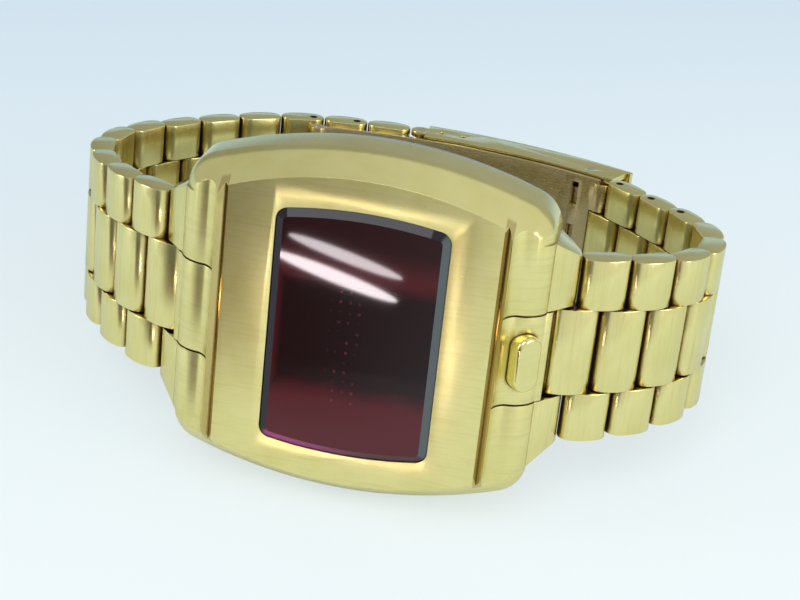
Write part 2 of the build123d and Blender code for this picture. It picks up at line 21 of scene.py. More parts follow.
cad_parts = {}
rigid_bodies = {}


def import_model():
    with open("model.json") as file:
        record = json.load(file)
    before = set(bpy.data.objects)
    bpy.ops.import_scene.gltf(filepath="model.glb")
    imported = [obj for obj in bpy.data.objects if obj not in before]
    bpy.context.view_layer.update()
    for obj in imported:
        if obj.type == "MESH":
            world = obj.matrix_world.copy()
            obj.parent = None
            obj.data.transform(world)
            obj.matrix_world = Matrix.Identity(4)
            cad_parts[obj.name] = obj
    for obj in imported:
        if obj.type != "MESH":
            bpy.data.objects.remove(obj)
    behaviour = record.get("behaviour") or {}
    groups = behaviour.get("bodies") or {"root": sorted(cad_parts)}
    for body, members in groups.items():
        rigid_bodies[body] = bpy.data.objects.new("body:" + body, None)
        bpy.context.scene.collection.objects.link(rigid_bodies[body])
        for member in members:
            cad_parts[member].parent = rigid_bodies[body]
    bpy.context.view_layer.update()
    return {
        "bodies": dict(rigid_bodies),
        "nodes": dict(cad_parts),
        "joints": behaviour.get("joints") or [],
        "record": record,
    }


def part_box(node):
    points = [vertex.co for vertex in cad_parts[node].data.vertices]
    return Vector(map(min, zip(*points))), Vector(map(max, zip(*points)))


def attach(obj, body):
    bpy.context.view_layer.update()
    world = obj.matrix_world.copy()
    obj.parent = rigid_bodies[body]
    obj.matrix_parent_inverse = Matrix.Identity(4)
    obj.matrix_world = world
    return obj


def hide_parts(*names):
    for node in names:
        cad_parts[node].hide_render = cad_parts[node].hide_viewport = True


Socket = bpy.types.NodeSocket
Color = tuple[float, float, float]
Factors = tuple[float, float, float]

MM = 0.001
LINK_GRAIN = (1.0, 1.0, 0.05)
LOG = logging.getLogger("led_watch")


class Slot(Enum):
    """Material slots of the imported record."""

    CASE = "gold_case"
    BRUSHED = "gold_brushed"
    POLISHED = "gold_polished"
    CRYSTAL = "red_crystal"
    STEEL = "steel"
    MODULE = "module"


@dataclass(frozen=True)
class WatchFrame:
    """The watch's own frame inside the row frame.

    Attributes:
        origin: Middle of the face plate's front, in metres.
        lean: Angle of the wrist axis from the vertical, in radians.
    """

    origin: Vector
    lean: float

    @classmethod
    def from_frame(cls, frame: dict[str, Any], depth: float) -> "WatchFrame":
        """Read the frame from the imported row.

        Args:
            depth: Face plate to the case back's outer face, in millimetres.

        Returns:
            The watch's frame.
        """
        record = frame["record"]
        back = next(m for m in record["mounts"] if m["name"] == "case_back_face")
        outward = Vector(back["axis"])
        origin = Vector(back["pos_m"]) - outward * depth * MM
        return cls(origin, math.atan2(-outward.z, outward.y))

    @property
    def turn(self) -> Matrix:
        """Rotation from the watch's axes to the row's."""
        return Matrix.Rotation(-self.lean, 3, "X")

    @property
    def matrix(self) -> Matrix:
        """Placement of a mesh drawn in millimetres in the watch's frame."""
        scale = Matrix.Scale(MM, 4)
        return Matrix.Translation(self.origin) @ self.turn.to_4x4() @ scale

    def point(self, spot: Sequence[float]) -> Vector:
        """Row point, in metres, of a watch point in millimetres."""
        return self.matrix @ Vector(spot)

    def local(self, point: Vector) -> Vector:
        """Watch point, in millimetres, of a row point in metres."""
        return self.matrix.inverted() @ point

    def direction(self, way: Sequence[float]) -> Vector:
        """Row direction of a direction in the watch's frame."""
        return self.turn @ Vector(way)


@dataclass(frozen=True)
class Noise:
    """Noise pattern between 0 and 1.

    Attributes:
        scale: Size of the pattern: higher is finer.
        detail: How many finer layers it has.
        roughness: Strength of the finer layers.
    """

    scale: float
    detail: float = 3.0
    roughness: float = 0.55


@dataclass(frozen=True)
class Step:
    """Smooth step of one value while another rises.

    Attributes:
        low: Where the step begins.
        high: Where it ends.
        before: Result below the step.
        after: Result above it.
    """

    low: float
    high: float
    before: float = 0.0
    after: float = 1.0

    @classmethod
    def around(cls, middle: float, reach: float, *results: float) -> "Step":
        """Step centred on a value, to a reach on both sides."""
        return cls(middle - reach, middle + reach, *results)


class Graph:
    """Short way to build a shader or geometry node tree."""

    def __init__(self, tree: bpy.types.NodeTree) -> None:
        """Keep the tree to build in."""
        self.tree = tree

    @classmethod
    def cleared(cls, owner: bpy.types.Material | bpy.types.World) -> "Graph":
        """Give a material or a world an empty tree.

        Args:
            owner: The material or world.

        Returns:
            Its tree.
        """
        owner.use_nodes = True
        owner.node_tree.nodes.clear()
        return cls(owner.node_tree)

    def node(self, kind: str, inputs: dict[Any, Any] | None = None, **settings: Any
             ) -> bpy.types.Node:
        """Add one node.

        Args:
            kind: Blender's name of the node type.
            inputs: Value or output socket for each input, by name or number.
            settings: Properties of the node itself.

        Returns:
            The new node.
        """
        made = self.tree.nodes.new(kind)
        for name, value in settings.items():
            setattr(made, name, value)
        for key, value in (inputs or {}).items():
            if isinstance(value, Socket):
                self.tree.links.new(value, made.inputs[key])
            else:
                made.inputs[key].default_value = value
        return made

    def math(self, operation: str, *values: Any, clamp: bool = False) -> Socket:
        """Add a math node and return its result."""
        made = self.node("ShaderNodeMath", dict(enumerate(values)),
                         operation=operation, use_clamp=clamp)
        return made.outputs[0]

    def plus(self, first: Any, second: Any, clamp: bool = False) -> Socket:
        """Sum of two values."""
        return self.math("ADD", first, second, clamp=clamp)

    def minus(self, first: Any, second: Any, clamp: bool = False) -> Socket:
        """Difference of two values."""
        return self.math("SUBTRACT", first, second, clamp=clamp)

    def times(self, first: Any, second: Any) -> Socket:
        """Product of two values."""
        return self.math("MULTIPLY", first, second)

    def unsigned(self, value: Any) -> Socket:
        """A value without its sign."""
        return self.math("ABSOLUTE", value)

    def split(self, vector: Any) -> list[Socket]:
        """X, Y and Z of a vector."""
        return list(self.node("ShaderNodeSeparateXYZ", {0: vector}).outputs)

    def stretched(self, vector: Any, factors: Sequence[float]) -> Socket:
        """Vector with a factor for each axis; a low one draws a pattern out."""
        made = self.node("ShaderNodeVectorMath", {0: vector, 1: factors},
                         operation="MULTIPLY")
        return made.outputs[0]

    def ramp(self, value: Any, step: Step) -> Socket:
        """Turn a value into the result of a step."""
        made = self.node("ShaderNodeMapRange",
                         {0: value, 1: step.low, 2: step.high, 3: step.before,
                          4: step.after}, interpolation_type="SMOOTHSTEP")
        return made.outputs[0]

    def blend(self, share: Any, first: Any, second: Any) -> Socket:
        """Mix two colours.

        Args:
            share: Share of the second colour.
            first: First colour, as a socket or linear RGB.
            second: Second colour.

        Returns:
            The mixed colour.
        """
        ends = [end if isinstance(end, Socket) else (*end, 1) for end in (first, second)]
        made = self.node("ShaderNodeMix", {0: share, 6: ends[0], 7: ends[1]},
                         data_type="RGBA")
        return made.outputs[2]

    def noise(self, vector: Any, pattern: Noise) -> Socket:
        """Noise at a point."""
        made = self.node("ShaderNodeTexNoise",
                         {"Vector": vector, "Scale": pattern.scale,
                          "Detail": pattern.detail, "Roughness": pattern.roughness})
        return made.outputs[0]

    def uneven(self, vector: Any, pattern: Noise, strength: float) -> Socket:
        """Noise as far below zero as above it."""
        return self.times(self.minus(self.noise(vector, pattern), 0.5), strength)

    def bump(self, height: Any, strength: float, depth: float) -> Socket:
        """Normal over a relief whose depth is in millimetres."""
        made = self.node("ShaderNodeBump", {"Strength": strength, "Distance": depth * MM,
                                            "Height": height})
        return made.outputs[0]


@dataclass(frozen=True)
class Finish:
    """One surface finish; subclasses work out the shader's inputs.

    Attributes:
        name: Name of the material.
        color: Main colour, linear RGB.
        metallic: 1 for metal, 0 otherwise.
        roughness: Middle roughness.
    """

    name: str
    color: Color = (0.8, 0.8, 0.8)
    metallic: float = 0.0
    roughness: float = 0.4

    def build(self, watch: WatchFrame) -> bpy.types.Material:
        """Make the material.

        Args:
            watch: The watch's frame, which patterns are laid out in.

        Returns:
            The finished material.
        """
        material = bpy.data.materials.new(self.name)
        graph = Graph.cleared(material)
        coords = graph.node("ShaderNodeTexCoord").outputs
        place = graph.node("ShaderNodeMapping",
                           {"Vector": coords["Object"], "Location": watch.origin,
                            "Rotation": (-watch.lean, 0, 0), "Scale": (MM, MM, MM)},
                           vector_type="TEXTURE")
        facing = graph.node("ShaderNodeMapping",
                            {"Vector": coords["Normal"], "Rotation": (watch.lean, 0, 0)},
                            vector_type="VECTOR")
        shader = graph.node("ShaderNodeBsdfPrincipled",
                            self.dress(graph, place.outputs[0], facing.outputs[0]))
        graph.node("ShaderNodeOutputMaterial", {0: shader.outputs[0]})
        material.diffuse_color = (*self.color, 1)
        return material

    def dress(self, graph: Graph, place: Socket, facing: Socket) -> dict[str, Any]:
        """Work out the shader's inputs.

        Args:
            graph: The material's tree.
            place: Point in the watch's frame, in millimetres.
            facing: Surface normal in the watch's frame.

        Returns:
            Value or socket for each input of the Principled shader.
        """
        raise NotImplementedError

    def clouded(self, graph: Graph, share: Socket, tint: Factors) -> Socket:
        """Main colour, mixed with the same colour times a tint.

        Args:
            graph: The material's tree.
            share: Share of the tinted colour.
            tint: Factor for red, green and blue.

        Returns:
            The mixed colour.
        """
        other = [part * factor for part, factor in zip(self.color, tint)]
        return graph.blend(share, self.color, other)


@dataclass(frozen=True)
class GoldPlate(Finish):
    """Satin-brushed gold plate with polished flanks, dirt and painted shade in its corners, and
    painted shade on its polished ribs.

    Attributes:
        deep: Colour of the plate where it is thinner, and of painted shade at joints and on the
            polished ribs.
        dirt_and_shade: Colour of the dirt and painted shade between the links.
        grain: How fast the brushing varies along each axis.
        lines: Brush lines, before the grain draws them out.
        line_depth: Depth of the brush lines, in millimetres.
        line_gloss: Change of roughness from line to line.
        relief: Strength of the brush lines and nicks.
        streaks: Broad streaks along the brushing.
        streak_share: Share of the deep colour in a streak.
        clouds: Faint patches of tarnish.
        cloud_step: Where a patch begins and is full.
        cloud_tint: Factors of the colour in a patch.
        flank_roughness: Roughness of the polished faces along the wrist axis.
        flank_from: Share of the wrist axis in the normal where polish begins.
        flank_edge: How softly it begins.
        polished_from: Distance from the middle where a polished rib begins.
        polished_to: Distance from the middle where that rib ends.
        rib_edge: How softly it ends, in millimetres.
        rib_front: Depth behind the face plate at which the rib's tone stops.
        rib_shade_share: Share of the deep colour on a rib, a painted shade for the dark that
            the polished rib mirrors.
        dirt_and_shade_reach: How far dirt and painted shade spread out of a corner, in
            millimetres.
        dirt_and_shade_rays: Rays that look for a corner.
        specks: Uneven edge of the dirt and painted shade.
        speck_strength: How uneven that edge is.
        dirt_and_shade_step: Openness below which dirt and painted shade lie.
        dirt_and_shade_share: Share of the colour of dirt and painted shade where they lie.
        grime_roughness: How much rougher the dirt is.
        corner_shade_step: Openness below which painted shade darkens the plate.
        nicks: Small scratches, before they are drawn out.
        nick_angle: Turn of the scratches from the middle line, in radians.
        nick_grain: How the scratches are drawn out.
        nick_step: Where a scratch begins and is full.
        nick_depth: Depth of a scratch in depths of a brush line.
    """

    color: Color = (0.84, 0.745, 0.325)
    metallic: float = 1.0
    roughness: float = 0.22
    deep: Color = (0.46, 0.32, 0.12)
    dirt_and_shade: Color = (0.05, 0.028, 0.012)
    grain: Factors = (0.05, 0.05, 1.0)
    lines: Noise = Noise(16.0, 4.0, 0.65)
    line_depth: float = 0.006
    line_gloss: Step = Step(0.2, 0.8, -0.05, 0.07)
    relief: float = 0.55
    streaks: Noise = Noise(3.2, 2.0)
    streak_share: Step = Step(0.42, 0.8, 0.0, 0.16)
    clouds: Noise = Noise(0.22)
    cloud_step: Step = Step(0.3, 0.75)
    cloud_tint: Factors = (0.93, 0.93, 0.84)
    flank_roughness: float = 0.13
    flank_from: float = 0.3
    flank_edge: float = 0.12
    polished_from: float = 0.0
    polished_to: float = 0.0
    rib_edge: float = 0.04
    rib_front: Step = Step(0.7, 1.1, 1.0, 0.0)
    rib_shade_share: float = 0.65
    dirt_and_shade_reach: float = 0.7
    dirt_and_shade_rays: int = 8
    specks: Noise = Noise(3.1, 5.0, 0.7)
    speck_strength: float = 0.5
    dirt_and_shade_step: Step = Step(0.32, 0.70, 1.0, 0.0)
    dirt_and_shade_share: float = 0.9
    grime_roughness: float = 0.35
    corner_shade_step: Step = Step(0.45, 1.0, 0.9, 0.0)
    nicks: Noise = Noise(2.6, 2.0)
    nick_angle: float = 0.9
    nick_grain: Factors = (0.06, 1.0, 1.0)
    nick_step: Step = Step(0.69, 0.74)
    nick_depth: float = 0.5

    def dress(self, graph: Graph, place: Socket, facing: Socket) -> dict[str, Any]:
        """Work out the shader's inputs.

        Args:
            graph: The material's tree.
            place: Point in the watch's frame, in millimetres.
            facing: Surface normal in the watch's frame.

        Returns:
            Value or socket for each input of the Principled shader.
        """
        along = graph.stretched(place, self.grain)
        fine = graph.noise(along, self.lines)
        flank = graph.ramp(graph.unsigned(graph.split(facing)[2]),
                           Step.around(self.flank_from, self.flank_edge))
        tone = self.clouded(graph, graph.ramp(graph.noise(place, self.clouds),
                                              self.cloud_step), self.cloud_tint)
        ribbed = self.polished_to > self.polished_from
        if ribbed:
            rib = self.rib(graph, place)
            flank = graph.math("MAXIMUM", flank, rib)
        brushed = graph.minus(1.0, flank, clamp=True)
        streak = graph.ramp(graph.noise(along, self.streaks), self.streak_share)
        tone = graph.blend(graph.times(brushed, streak), tone, self.deep)
        if ribbed:
            # Painted shade: the polished ribs darken towards the deep colour, for the dark that
            # they mirror.
            tone = graph.blend(graph.times(rib, self.rib_shade_share), tone, self.deep)
        # Painted shade from ambient occlusion: the plate darkens in corners and between links,
        # and the darkest part turns dark brown, partly dirt and partly painted shade.
        hollow = graph.node("ShaderNodeAmbientOcclusion",
                            {"Distance": self.dirt_and_shade_reach * MM}, samples=self.dirt_and_shade_rays)
        opening = hollow.outputs["AO"]
        speck = graph.uneven(place, self.specks, self.speck_strength)
        dirt_and_shade_mask = graph.ramp(graph.plus(opening, speck), self.dirt_and_shade_step)
        tone = graph.blend(graph.ramp(opening, self.corner_shade_step), tone, self.deep)
        tone = graph.blend(graph.times(dirt_and_shade_mask, self.dirt_and_shade_share), tone, self.dirt_and_shade)
        rough = graph.plus(graph.times(brushed, self.roughness),
                           graph.times(flank, self.flank_roughness))
        rough = graph.plus(rough, graph.ramp(fine, self.line_gloss))
        rough = graph.plus(rough, graph.times(dirt_and_shade_mask, self.grime_roughness), clamp=True)
        height = graph.minus(graph.times(fine, brushed),
                             graph.times(self.scratch(graph, place), self.nick_depth))
        return {"Base Color": tone, "Roughness": rough, "Metallic": self.metallic,
                "Normal": graph.bump(height, self.relief, self.line_depth)}

    def rib(self, graph: Graph, place: Socket) -> Socket:
        """Find the polished ribs beside the face plate.

        Args:
            graph: The material's tree.
            place: Point in the watch's frame.

        Returns:
            1 on a rib and 0 elsewhere.
        """
        across, deep, _ = graph.split(place)
        reach = graph.unsigned(across)
        stripe = graph.times(
            graph.ramp(reach, Step.around(self.polished_from, self.rib_edge)),
            graph.ramp(reach, Step.around(self.polished_to, self.rib_edge, 1.0, 0.0)))
        return graph.times(stripe, graph.ramp(deep, self.rib_front))

    def scratch(self, graph: Graph, place: Socket) -> Socket:
        """Scatter small scratches.

        Args:
            graph: The material's tree.
            place: Point in the watch's frame.

        Returns:
            1 in a scratch and 0 elsewhere.
        """
        turned = graph.node("ShaderNodeVectorRotate",
                            {"Vector": place, "Axis": (0, 1, 0), "Angle": self.nick_angle})
        drawn = graph.stretched(turned.outputs[0], self.nick_grain)
        return graph.ramp(graph.noise(drawn, self.nicks), self.nick_step)


@dataclass(frozen=True)
class PlainMetal(Finish):
    """Fine-brushed metal of one colour, for hidden and inner parts.

    Attributes:
        grain: How fast the brushing varies along each axis.
        lines: Brush lines, before the grain draws them out.
        line_depth: Depth of the brush lines, in millimetres.
        line_gloss: Change of roughness from line to line.
        relief: Strength of the brush lines.
        clouds: Duller patches.
        cloud_step: Where a patch begins and is full.
        cloud_tint: Factors of the colour in a patch.
    """

    color: Color = (0.56, 0.55, 0.52)
    metallic: float = 1.0
    roughness: float = 0.28
    grain: Factors = (0.08, 1.0, 1.0)
    lines: Noise = Noise(11.0, 4.0, 0.6)
    line_depth: float = 0.004
    line_gloss: Step = Step(0.2, 0.8, -0.08, 0.1)
    relief: float = 0.4
    clouds: Noise = Noise(0.5)
    cloud_step: Step = Step(0.35, 0.7)
    cloud_tint: Factors = (0.86, 0.86, 0.86)

    def dress(self, graph: Graph, place: Socket, facing: Socket) -> dict[str, Any]:
        """Work out the shader's inputs.

        Args:
            graph: The material's tree.
            place: Point in the watch's frame, in millimetres.
            facing: Surface normal in the watch's frame; not used.

        Returns:
            Value or socket for each input of the Principled shader.
        """
        fine = graph.noise(graph.stretched(place, self.grain), self.lines)
        patch = graph.ramp(graph.noise(place, self.clouds), self.cloud_step)
        rough = graph.plus(self.roughness, graph.ramp(fine, self.line_gloss))
        return {"Base Color": self.clouded(graph, patch, self.cloud_tint),
                "Roughness": rough, "Metallic": self.metallic,
                "Normal": graph.bump(fine, self.relief, self.line_depth)}


@dataclass(frozen=True)
class DarkCrystal(Finish):
    """Deep red filter glass over the dark display, with painted reflections on its face and
    bevel and a painted glow of its dots.

    Attributes:
        index: Refractive index, which sets the strength of the reflections.
        reflected_haze: Colour of a painted red reflection above and below the display.
        haze_from: Distance from the middle, along Z, where that painted reflection begins.
        haze_edge: How softly it begins, in millimetres.
        haze_side: Where and how far the painted reflection shows on the left side.
        haze_fade: Where the painted reflection fades towards the upper edge.
        waves: Uneven edge of the painted reflection.
        wave_height: How uneven that edge is, in millimetres.
        hairs: Fine wiping marks, before they are drawn out.
        hair_grain: How the marks are drawn out.
        hair_step: Where a mark begins and is full.
        hair_roughness: How much rougher a mark is.
        front_step: Share of Y in the normal that tells the front from the bevel.
        bevel: Colour of the bevel on the dark side, where no reflection is painted.
        slate_reflection: Colour of the painted reflection on the bevel's bright side.
        slate_step: Share of X in the normal where that side begins.
        violet_reflection: Colour of the painted reflection on the lower bevel's left part.
        plum_reflection: Colour of the painted reflection on the lower bevel's right part.
        violet_step: Place along X where the one turns into the other.
        low_step: Share of Z in the normal that tells the lower bevel.
        dot_middle: Middle of the painted glow of the display's faint dots, as X and Z.
        dot_reach: Half the width and height that they take up.
        dot_edge: How softly that field ends, in millimetres.
        dot_rows: Rows of dots per millimetre.
        dot_step: Distance from a dot's middle where it ends.
        dot_glow_color: Colour of the dots' painted glow.
        dot_painted_glow: How bright that painted glow is.
        gaps: Pattern of the dots that are left out.
        gap_step: Where dots begin to show in it.
    """

    color: Color = (0.010, 0.001, 0.002)
    roughness: float = 0.035
    index: float = 1.42
    reflected_haze: Color = (0.085, 0.008, 0.012)
    haze_from: float = 6.2
    haze_edge: float = 1.5
    haze_side: Step = Step(-8.2, -7.2, 0.6, 0.0)
    haze_fade: Step = Step(6.0, 10.5, 1.0, 0.12)
    waves: Noise = Noise(0.16, 2.0)
    wave_height: float = 1.6
    hairs: Noise = Noise(3.3, 2.0)
    hair_grain: Factors = (0.08, 1.0, 1.0)
    hair_step: Step = Step(0.68, 0.72)
    hair_roughness: float = 0.02
    front_step: Step = Step(-0.99, -0.94, 1.0, 0.0)
    bevel: Color = (0.012, 0.006, 0.012)
    slate_reflection: Color = (0.085, 0.10, 0.105)
    slate_step: Step = Step(0.2, 0.4)
    violet_reflection: Color = (0.30, 0.03, 0.16)
    plum_reflection: Color = (0.06, 0.012, 0.02)
    violet_step: Step = Step(-6.5, 4.0)
    low_step: Step = Step(-0.4, -0.2, 1.0, 0.0)
    dot_middle: tuple[float, float] = (-0.8, -1.5)
    dot_reach: tuple[float, float] = (1.6, 6.6)
    dot_edge: float = 0.1
    dot_rows: float = 0.9
    dot_step: Step = Step(0.10, 0.20, 1.0, 0.0)
    dot_glow_color: Color = (1.0, 0.17, 0.24)
    dot_painted_glow: float = 0.07
    gaps: Noise = Noise(0.9, 1.0)
    gap_step: Step = Step(0.42, 0.60)

    def dress(self, graph: Graph, place: Socket, facing: Socket) -> dict[str, Any]:
        """Work out the shader's inputs.

        Args:
            graph: The material's tree.
            place: Point in the watch's frame, in millimetres.
            facing: Surface normal in the watch's frame.

        Returns:
            Value or socket for each input of the Principled shader.
        """
        across, _, up = graph.split(place)
        drawn = graph.stretched(place, self.hair_grain)
        hair = graph.ramp(graph.noise(drawn, self.hairs), self.hair_step)
        front = graph.ramp(graph.split(facing)[1], self.front_step)
        # Painted reflection: a red band above, below and to the left of the display.
        glass = graph.blend(self.haze_reflection(graph, place), self.color, self.reflected_haze)
        # Painted reflection: the bevel's tones stand for what it mirrors on each side.
        tone = graph.blend(front, self.rim_reflection(graph, across, facing), glass)
        # Painted light: the switched-off dots of the display glow faintly on the glass.
        light = graph.times(self.dots(graph, place), front)
        rough = graph.plus(self.roughness, graph.times(hair, self.hair_roughness))
        return {"Base Color": tone, "Roughness": rough, "IOR": self.index,
                "Emission Color": (*self.dot_glow_color, 1), "Emission Strength": light}

    def haze_reflection(self, graph: Graph, place: Socket) -> Socket:
        """Find where the painted red reflection lies on the glass.

        Args:
            graph: The material's tree.
            place: Point in the watch's frame.

        Returns:
            Share of the painted reflection.
        """
        across, _, up = graph.split(place)
        wave = graph.uneven(place, self.waves, self.wave_height)
        ends = graph.ramp(graph.plus(graph.unsigned(up), wave),
                          Step.around(self.haze_from, self.haze_edge))
        shown = graph.math("MAXIMUM", ends, graph.ramp(across, self.haze_side))
        return graph.times(shown, graph.ramp(up, self.haze_fade))

    def rim_reflection(self, graph: Graph, across: Socket, facing: Socket) -> Socket:
        """Colour the bevel with painted reflections by the side that it is on.

        Args:
            graph: The material's tree.
            across: X of the point in the watch's frame.
            facing: Surface normal in the watch's frame.

        Returns:
            The bevel's colour, with its painted reflections.
        """
        right, _, upward = graph.split(facing)
        sides = graph.blend(graph.ramp(right, self.slate_step), self.bevel, self.slate_reflection)
        low = graph.blend(graph.ramp(across, self.violet_step), self.violet_reflection, self.plum_reflection)
        return graph.blend(graph.ramp(upward, self.low_step), sides, low)

    def dots(self, graph: Graph, place: Socket) -> Socket:
        """Paint a faint glow of the display's dots, switched off, as if seen behind the glass.

        Args:
            graph: The material's tree.
            place: Point in the watch's frame.

        Returns:
            How bright their painted glow is.
        """
        across, _, up = graph.split(place)
        offs = [graph.minus(graph.math("FRACT", axis), 0.5)
                for axis in (across, graph.times(up, self.dot_rows))]
        squares = [graph.times(off, off) for off in offs]
        spots = graph.ramp(graph.math("SQRT", graph.plus(*squares)), self.dot_step)
        for axis, middle, reach in zip((across, up), self.dot_middle, self.dot_reach):
            inside = graph.ramp(graph.unsigned(graph.minus(axis, middle)),
                                Step.around(reach, self.dot_edge, 1.0, 0.0))
            spots = graph.times(spots, inside)
        chance = graph.ramp(graph.noise(place, self.gaps), self.gap_step)
        return graph.times(graph.times(spots, chance), self.dot_painted_glow)


@dataclass(frozen=True)
class Moulded(Finish):
    """Matt moulded plastic or rubber with a fine grain.

    Attributes:
        grain: Fine grain of the mould.
        grain_depth: Its depth, in millimetres.
        grain_gloss: Change of roughness over the grain.
        relief: Strength of the grain.
        tone_step: Where a lighter grain begins and is full.
        tone_tint: Factors of the colour on a lighter grain.
    """

    color: Color = (0.02, 0.02, 0.02)
    roughness: float = 0.6
    grain: Noise = Noise(6.0, 4.0)
    grain_depth: float = 0.02
    grain_gloss: Step = Step(0.3, 0.7, -0.08, 0.08)
    relief: float = 0.3
    tone_step: Step = Step(0.3, 0.7)
    tone_tint: Factors = (1.6, 1.6, 1.6)

    def dress(self, graph: Graph, place: Socket, facing: Socket) -> dict[str, Any]:
        """Work out the shader's inputs.

        Args:
            graph: The material's tree.
            place: Point in the watch's frame, in millimetres.
            facing: Surface normal in the watch's frame; not used.

        Returns:
            Value or socket for each input of the Principled shader.
        """
        fine = graph.noise(place, self.grain)
        tone = self.clouded(graph, graph.ramp(fine, self.tone_step), self.tone_tint)
        rough = graph.plus(self.roughness, graph.ramp(fine, self.grain_gloss))
        return {"Base Color": tone, "Roughness": rough,
                "Normal": graph.bump(fine, self.relief, self.grain_depth)}


@dataclass(frozen=True)
class LightDot(Finish):
    """Small light dots, switched off, of pale crystal on gold leads.

    Attributes:
        specks: Darker specks in the crystal.
        speck_step: Where a speck begins and is full.
        speck_tint: Factors of the colour in a speck.
    """

    color: Color = (0.75, 0.55, 0.42)
    roughness: float = 0.3
    specks: Noise = Noise(2.4, 2.0)
    speck_step: Step = Step(0.35, 0.65)
    speck_tint: Factors = (0.3, 0.3, 0.3)

    def dress(self, graph: Graph, place: Socket, facing: Socket) -> dict[str, Any]:
        """Work out the shader's inputs.

        Args:
            graph: The material's tree.
            place: Point in the watch's frame, in millimetres.
            facing: Surface normal in the watch's frame; not used.

        Returns:
            Value or socket for each input of the Principled shader.
        """
        speck = graph.ramp(graph.noise(place, self.specks), self.speck_step)
        return {"Base Color": self.clouded(graph, speck, self.speck_tint),
                "Roughness": self.roughness}


@dataclass
class Workshop:
    """What every sub-assembly needs: the frame, the finishes and the bodies.

    Attributes:
        watch: The watch's own frame.
        merge: Corners nearer than this are merged, in millimetres.
        flat_deg: Faces that meet at less than this angle become one.
        edge_steps: Rows of faces on a broken edge.
        made: Materials made so far, by name.
    """

    frame: dict[str, Any]
    watch: WatchFrame
    merge: float = 0.002
    flat_deg: float = 0.4
    edge_steps: int = 2
    made: dict[str, bpy.types.Material] = field(default_factory=dict)

    @property
    def bodies(self) -> dict[str, list[str]]:
        """CAD nodes of each body."""
        return self.frame["record"]["behaviour"]["bodies"]

    def body_of(self, node: str) -> str:
        """Name of the body that a CAD node belongs to."""
        return next(body for body, nodes in self.bodies.items() if node in nodes)

    def material(self, finish: Finish) -> bpy.types.Material:
        """Get a finish's material, which is made on first use.

        Args:
            finish: The finish.

        Returns:
            Its material.
        """
        if finish.name not in self.made:
            self.made[finish.name] = finish.build(self.watch)
        return self.made[finish.name]

    def adopt(self, piece: bpy.types.Object, node: str, finish: Finish, slot: Slot) -> None:
        """Dress a piece and let it stand for a CAD node.

        Args:
            piece: The finished piece, in place.
            node: The CAD node that it replaces.
            finish: Its finish.
            slot: Its material slot in the record; not used.
        """
        piece.data.materials.clear()
        piece.data.materials.append(self.material(finish))
        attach(piece, self.body_of(node))
        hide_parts(node)
        LOG.info("%s stands for %s: %d faces", piece.name, node, len(piece.data.polygons))

    def coat(self, node: str, finish: Finish) -> None:
        """Give a CAD node that stays in view a finish.

        Args:
            node: The CAD node.
            finish: Its finish.
        """
        mesh = self.frame["nodes"][node].data
        mesh.materials.clear()
        mesh.materials.append(self.material(finish))
        LOG.info("%s keeps its shape, finish %s", node, finish.name)

    def smooth_copy(self, node: str, name: str, edge: float = 0.0,
                    sharp_deg: float = 32.0) -> bpy.types.Object:
        """Copy a CAD node's mesh, merged and shaded smooth.

        Args:
            node: The CAD node.
            name: Name of the new piece.
            edge: Width of the broken edges, in millimetres; 0 leaves them.
            sharp_deg: Edges steeper than this stay sharp.

        Returns:
            The new piece, at the origin.
        """
        mesh = self.frame["nodes"][node].data.copy()
        work = bmesh.new()
        work.from_mesh(mesh)
        bmesh.ops.remove_doubles(work, verts=work.verts, dist=self.merge * MM)
        bmesh.ops.dissolve_limit(work, angle_limit=math.radians(self.flat_deg),
                                 verts=work.verts, edges=work.edges)
        work.to_mesh(mesh)
        work.free()
        piece = new_piece(name, mesh)
        if edge > 0:
            bevel = piece.modifiers.new("broken edges", "BEVEL")
            bevel.width = edge * MM
            bevel.segments = self.edge_steps
            bevel.limit_method = "ANGLE"
            bevel.angle_limit = math.radians(sharp_deg)
            bevel.use_clamp_overlap = True
            apply_modifiers(piece)
        finish_mesh(piece.data, sharp_deg)
        return piece


def new_piece(name: str, mesh: bpy.types.Mesh) -> bpy.types.Object:
    """Link a new object at the origin.

    Args:
        name: Name of the object and its mesh.
        mesh: Its mesh.

    Returns:
        The object.
    """
    mesh.name = name
    piece = bpy.data.objects.new(name, mesh)
    bpy.context.scene.collection.objects.link(piece)
    return piece


def apply_modifiers(piece: bpy.types.Object) -> None:
    """Turn a piece's modifiers into plain mesh.

    Args:
        piece: An object with modifiers, which keeps the evaluated mesh.
    """
    bpy.context.view_layer.update()
    graph = bpy.context.evaluated_depsgraph_get()
    mesh = bpy.data.meshes.new_from_object(piece.evaluated_get(graph))
    piece.modifiers.clear()
    piece.data = mesh


def finish_mesh(mesh: bpy.types.Mesh, sharp_deg: float) -> None:
    """Shade a mesh smooth, apart from edges over an angle.

    Args:
        mesh: The mesh; normals stored with it are dropped.
        sharp_deg: Edges steeper than this stay sharp.
    """
    stored = mesh.attributes.get("custom_normal")
    if stored:
        mesh.attributes.remove(stored)
    mesh.shade_smooth()
    mesh.set_sharp_from_angle(angle=math.radians(sharp_deg))


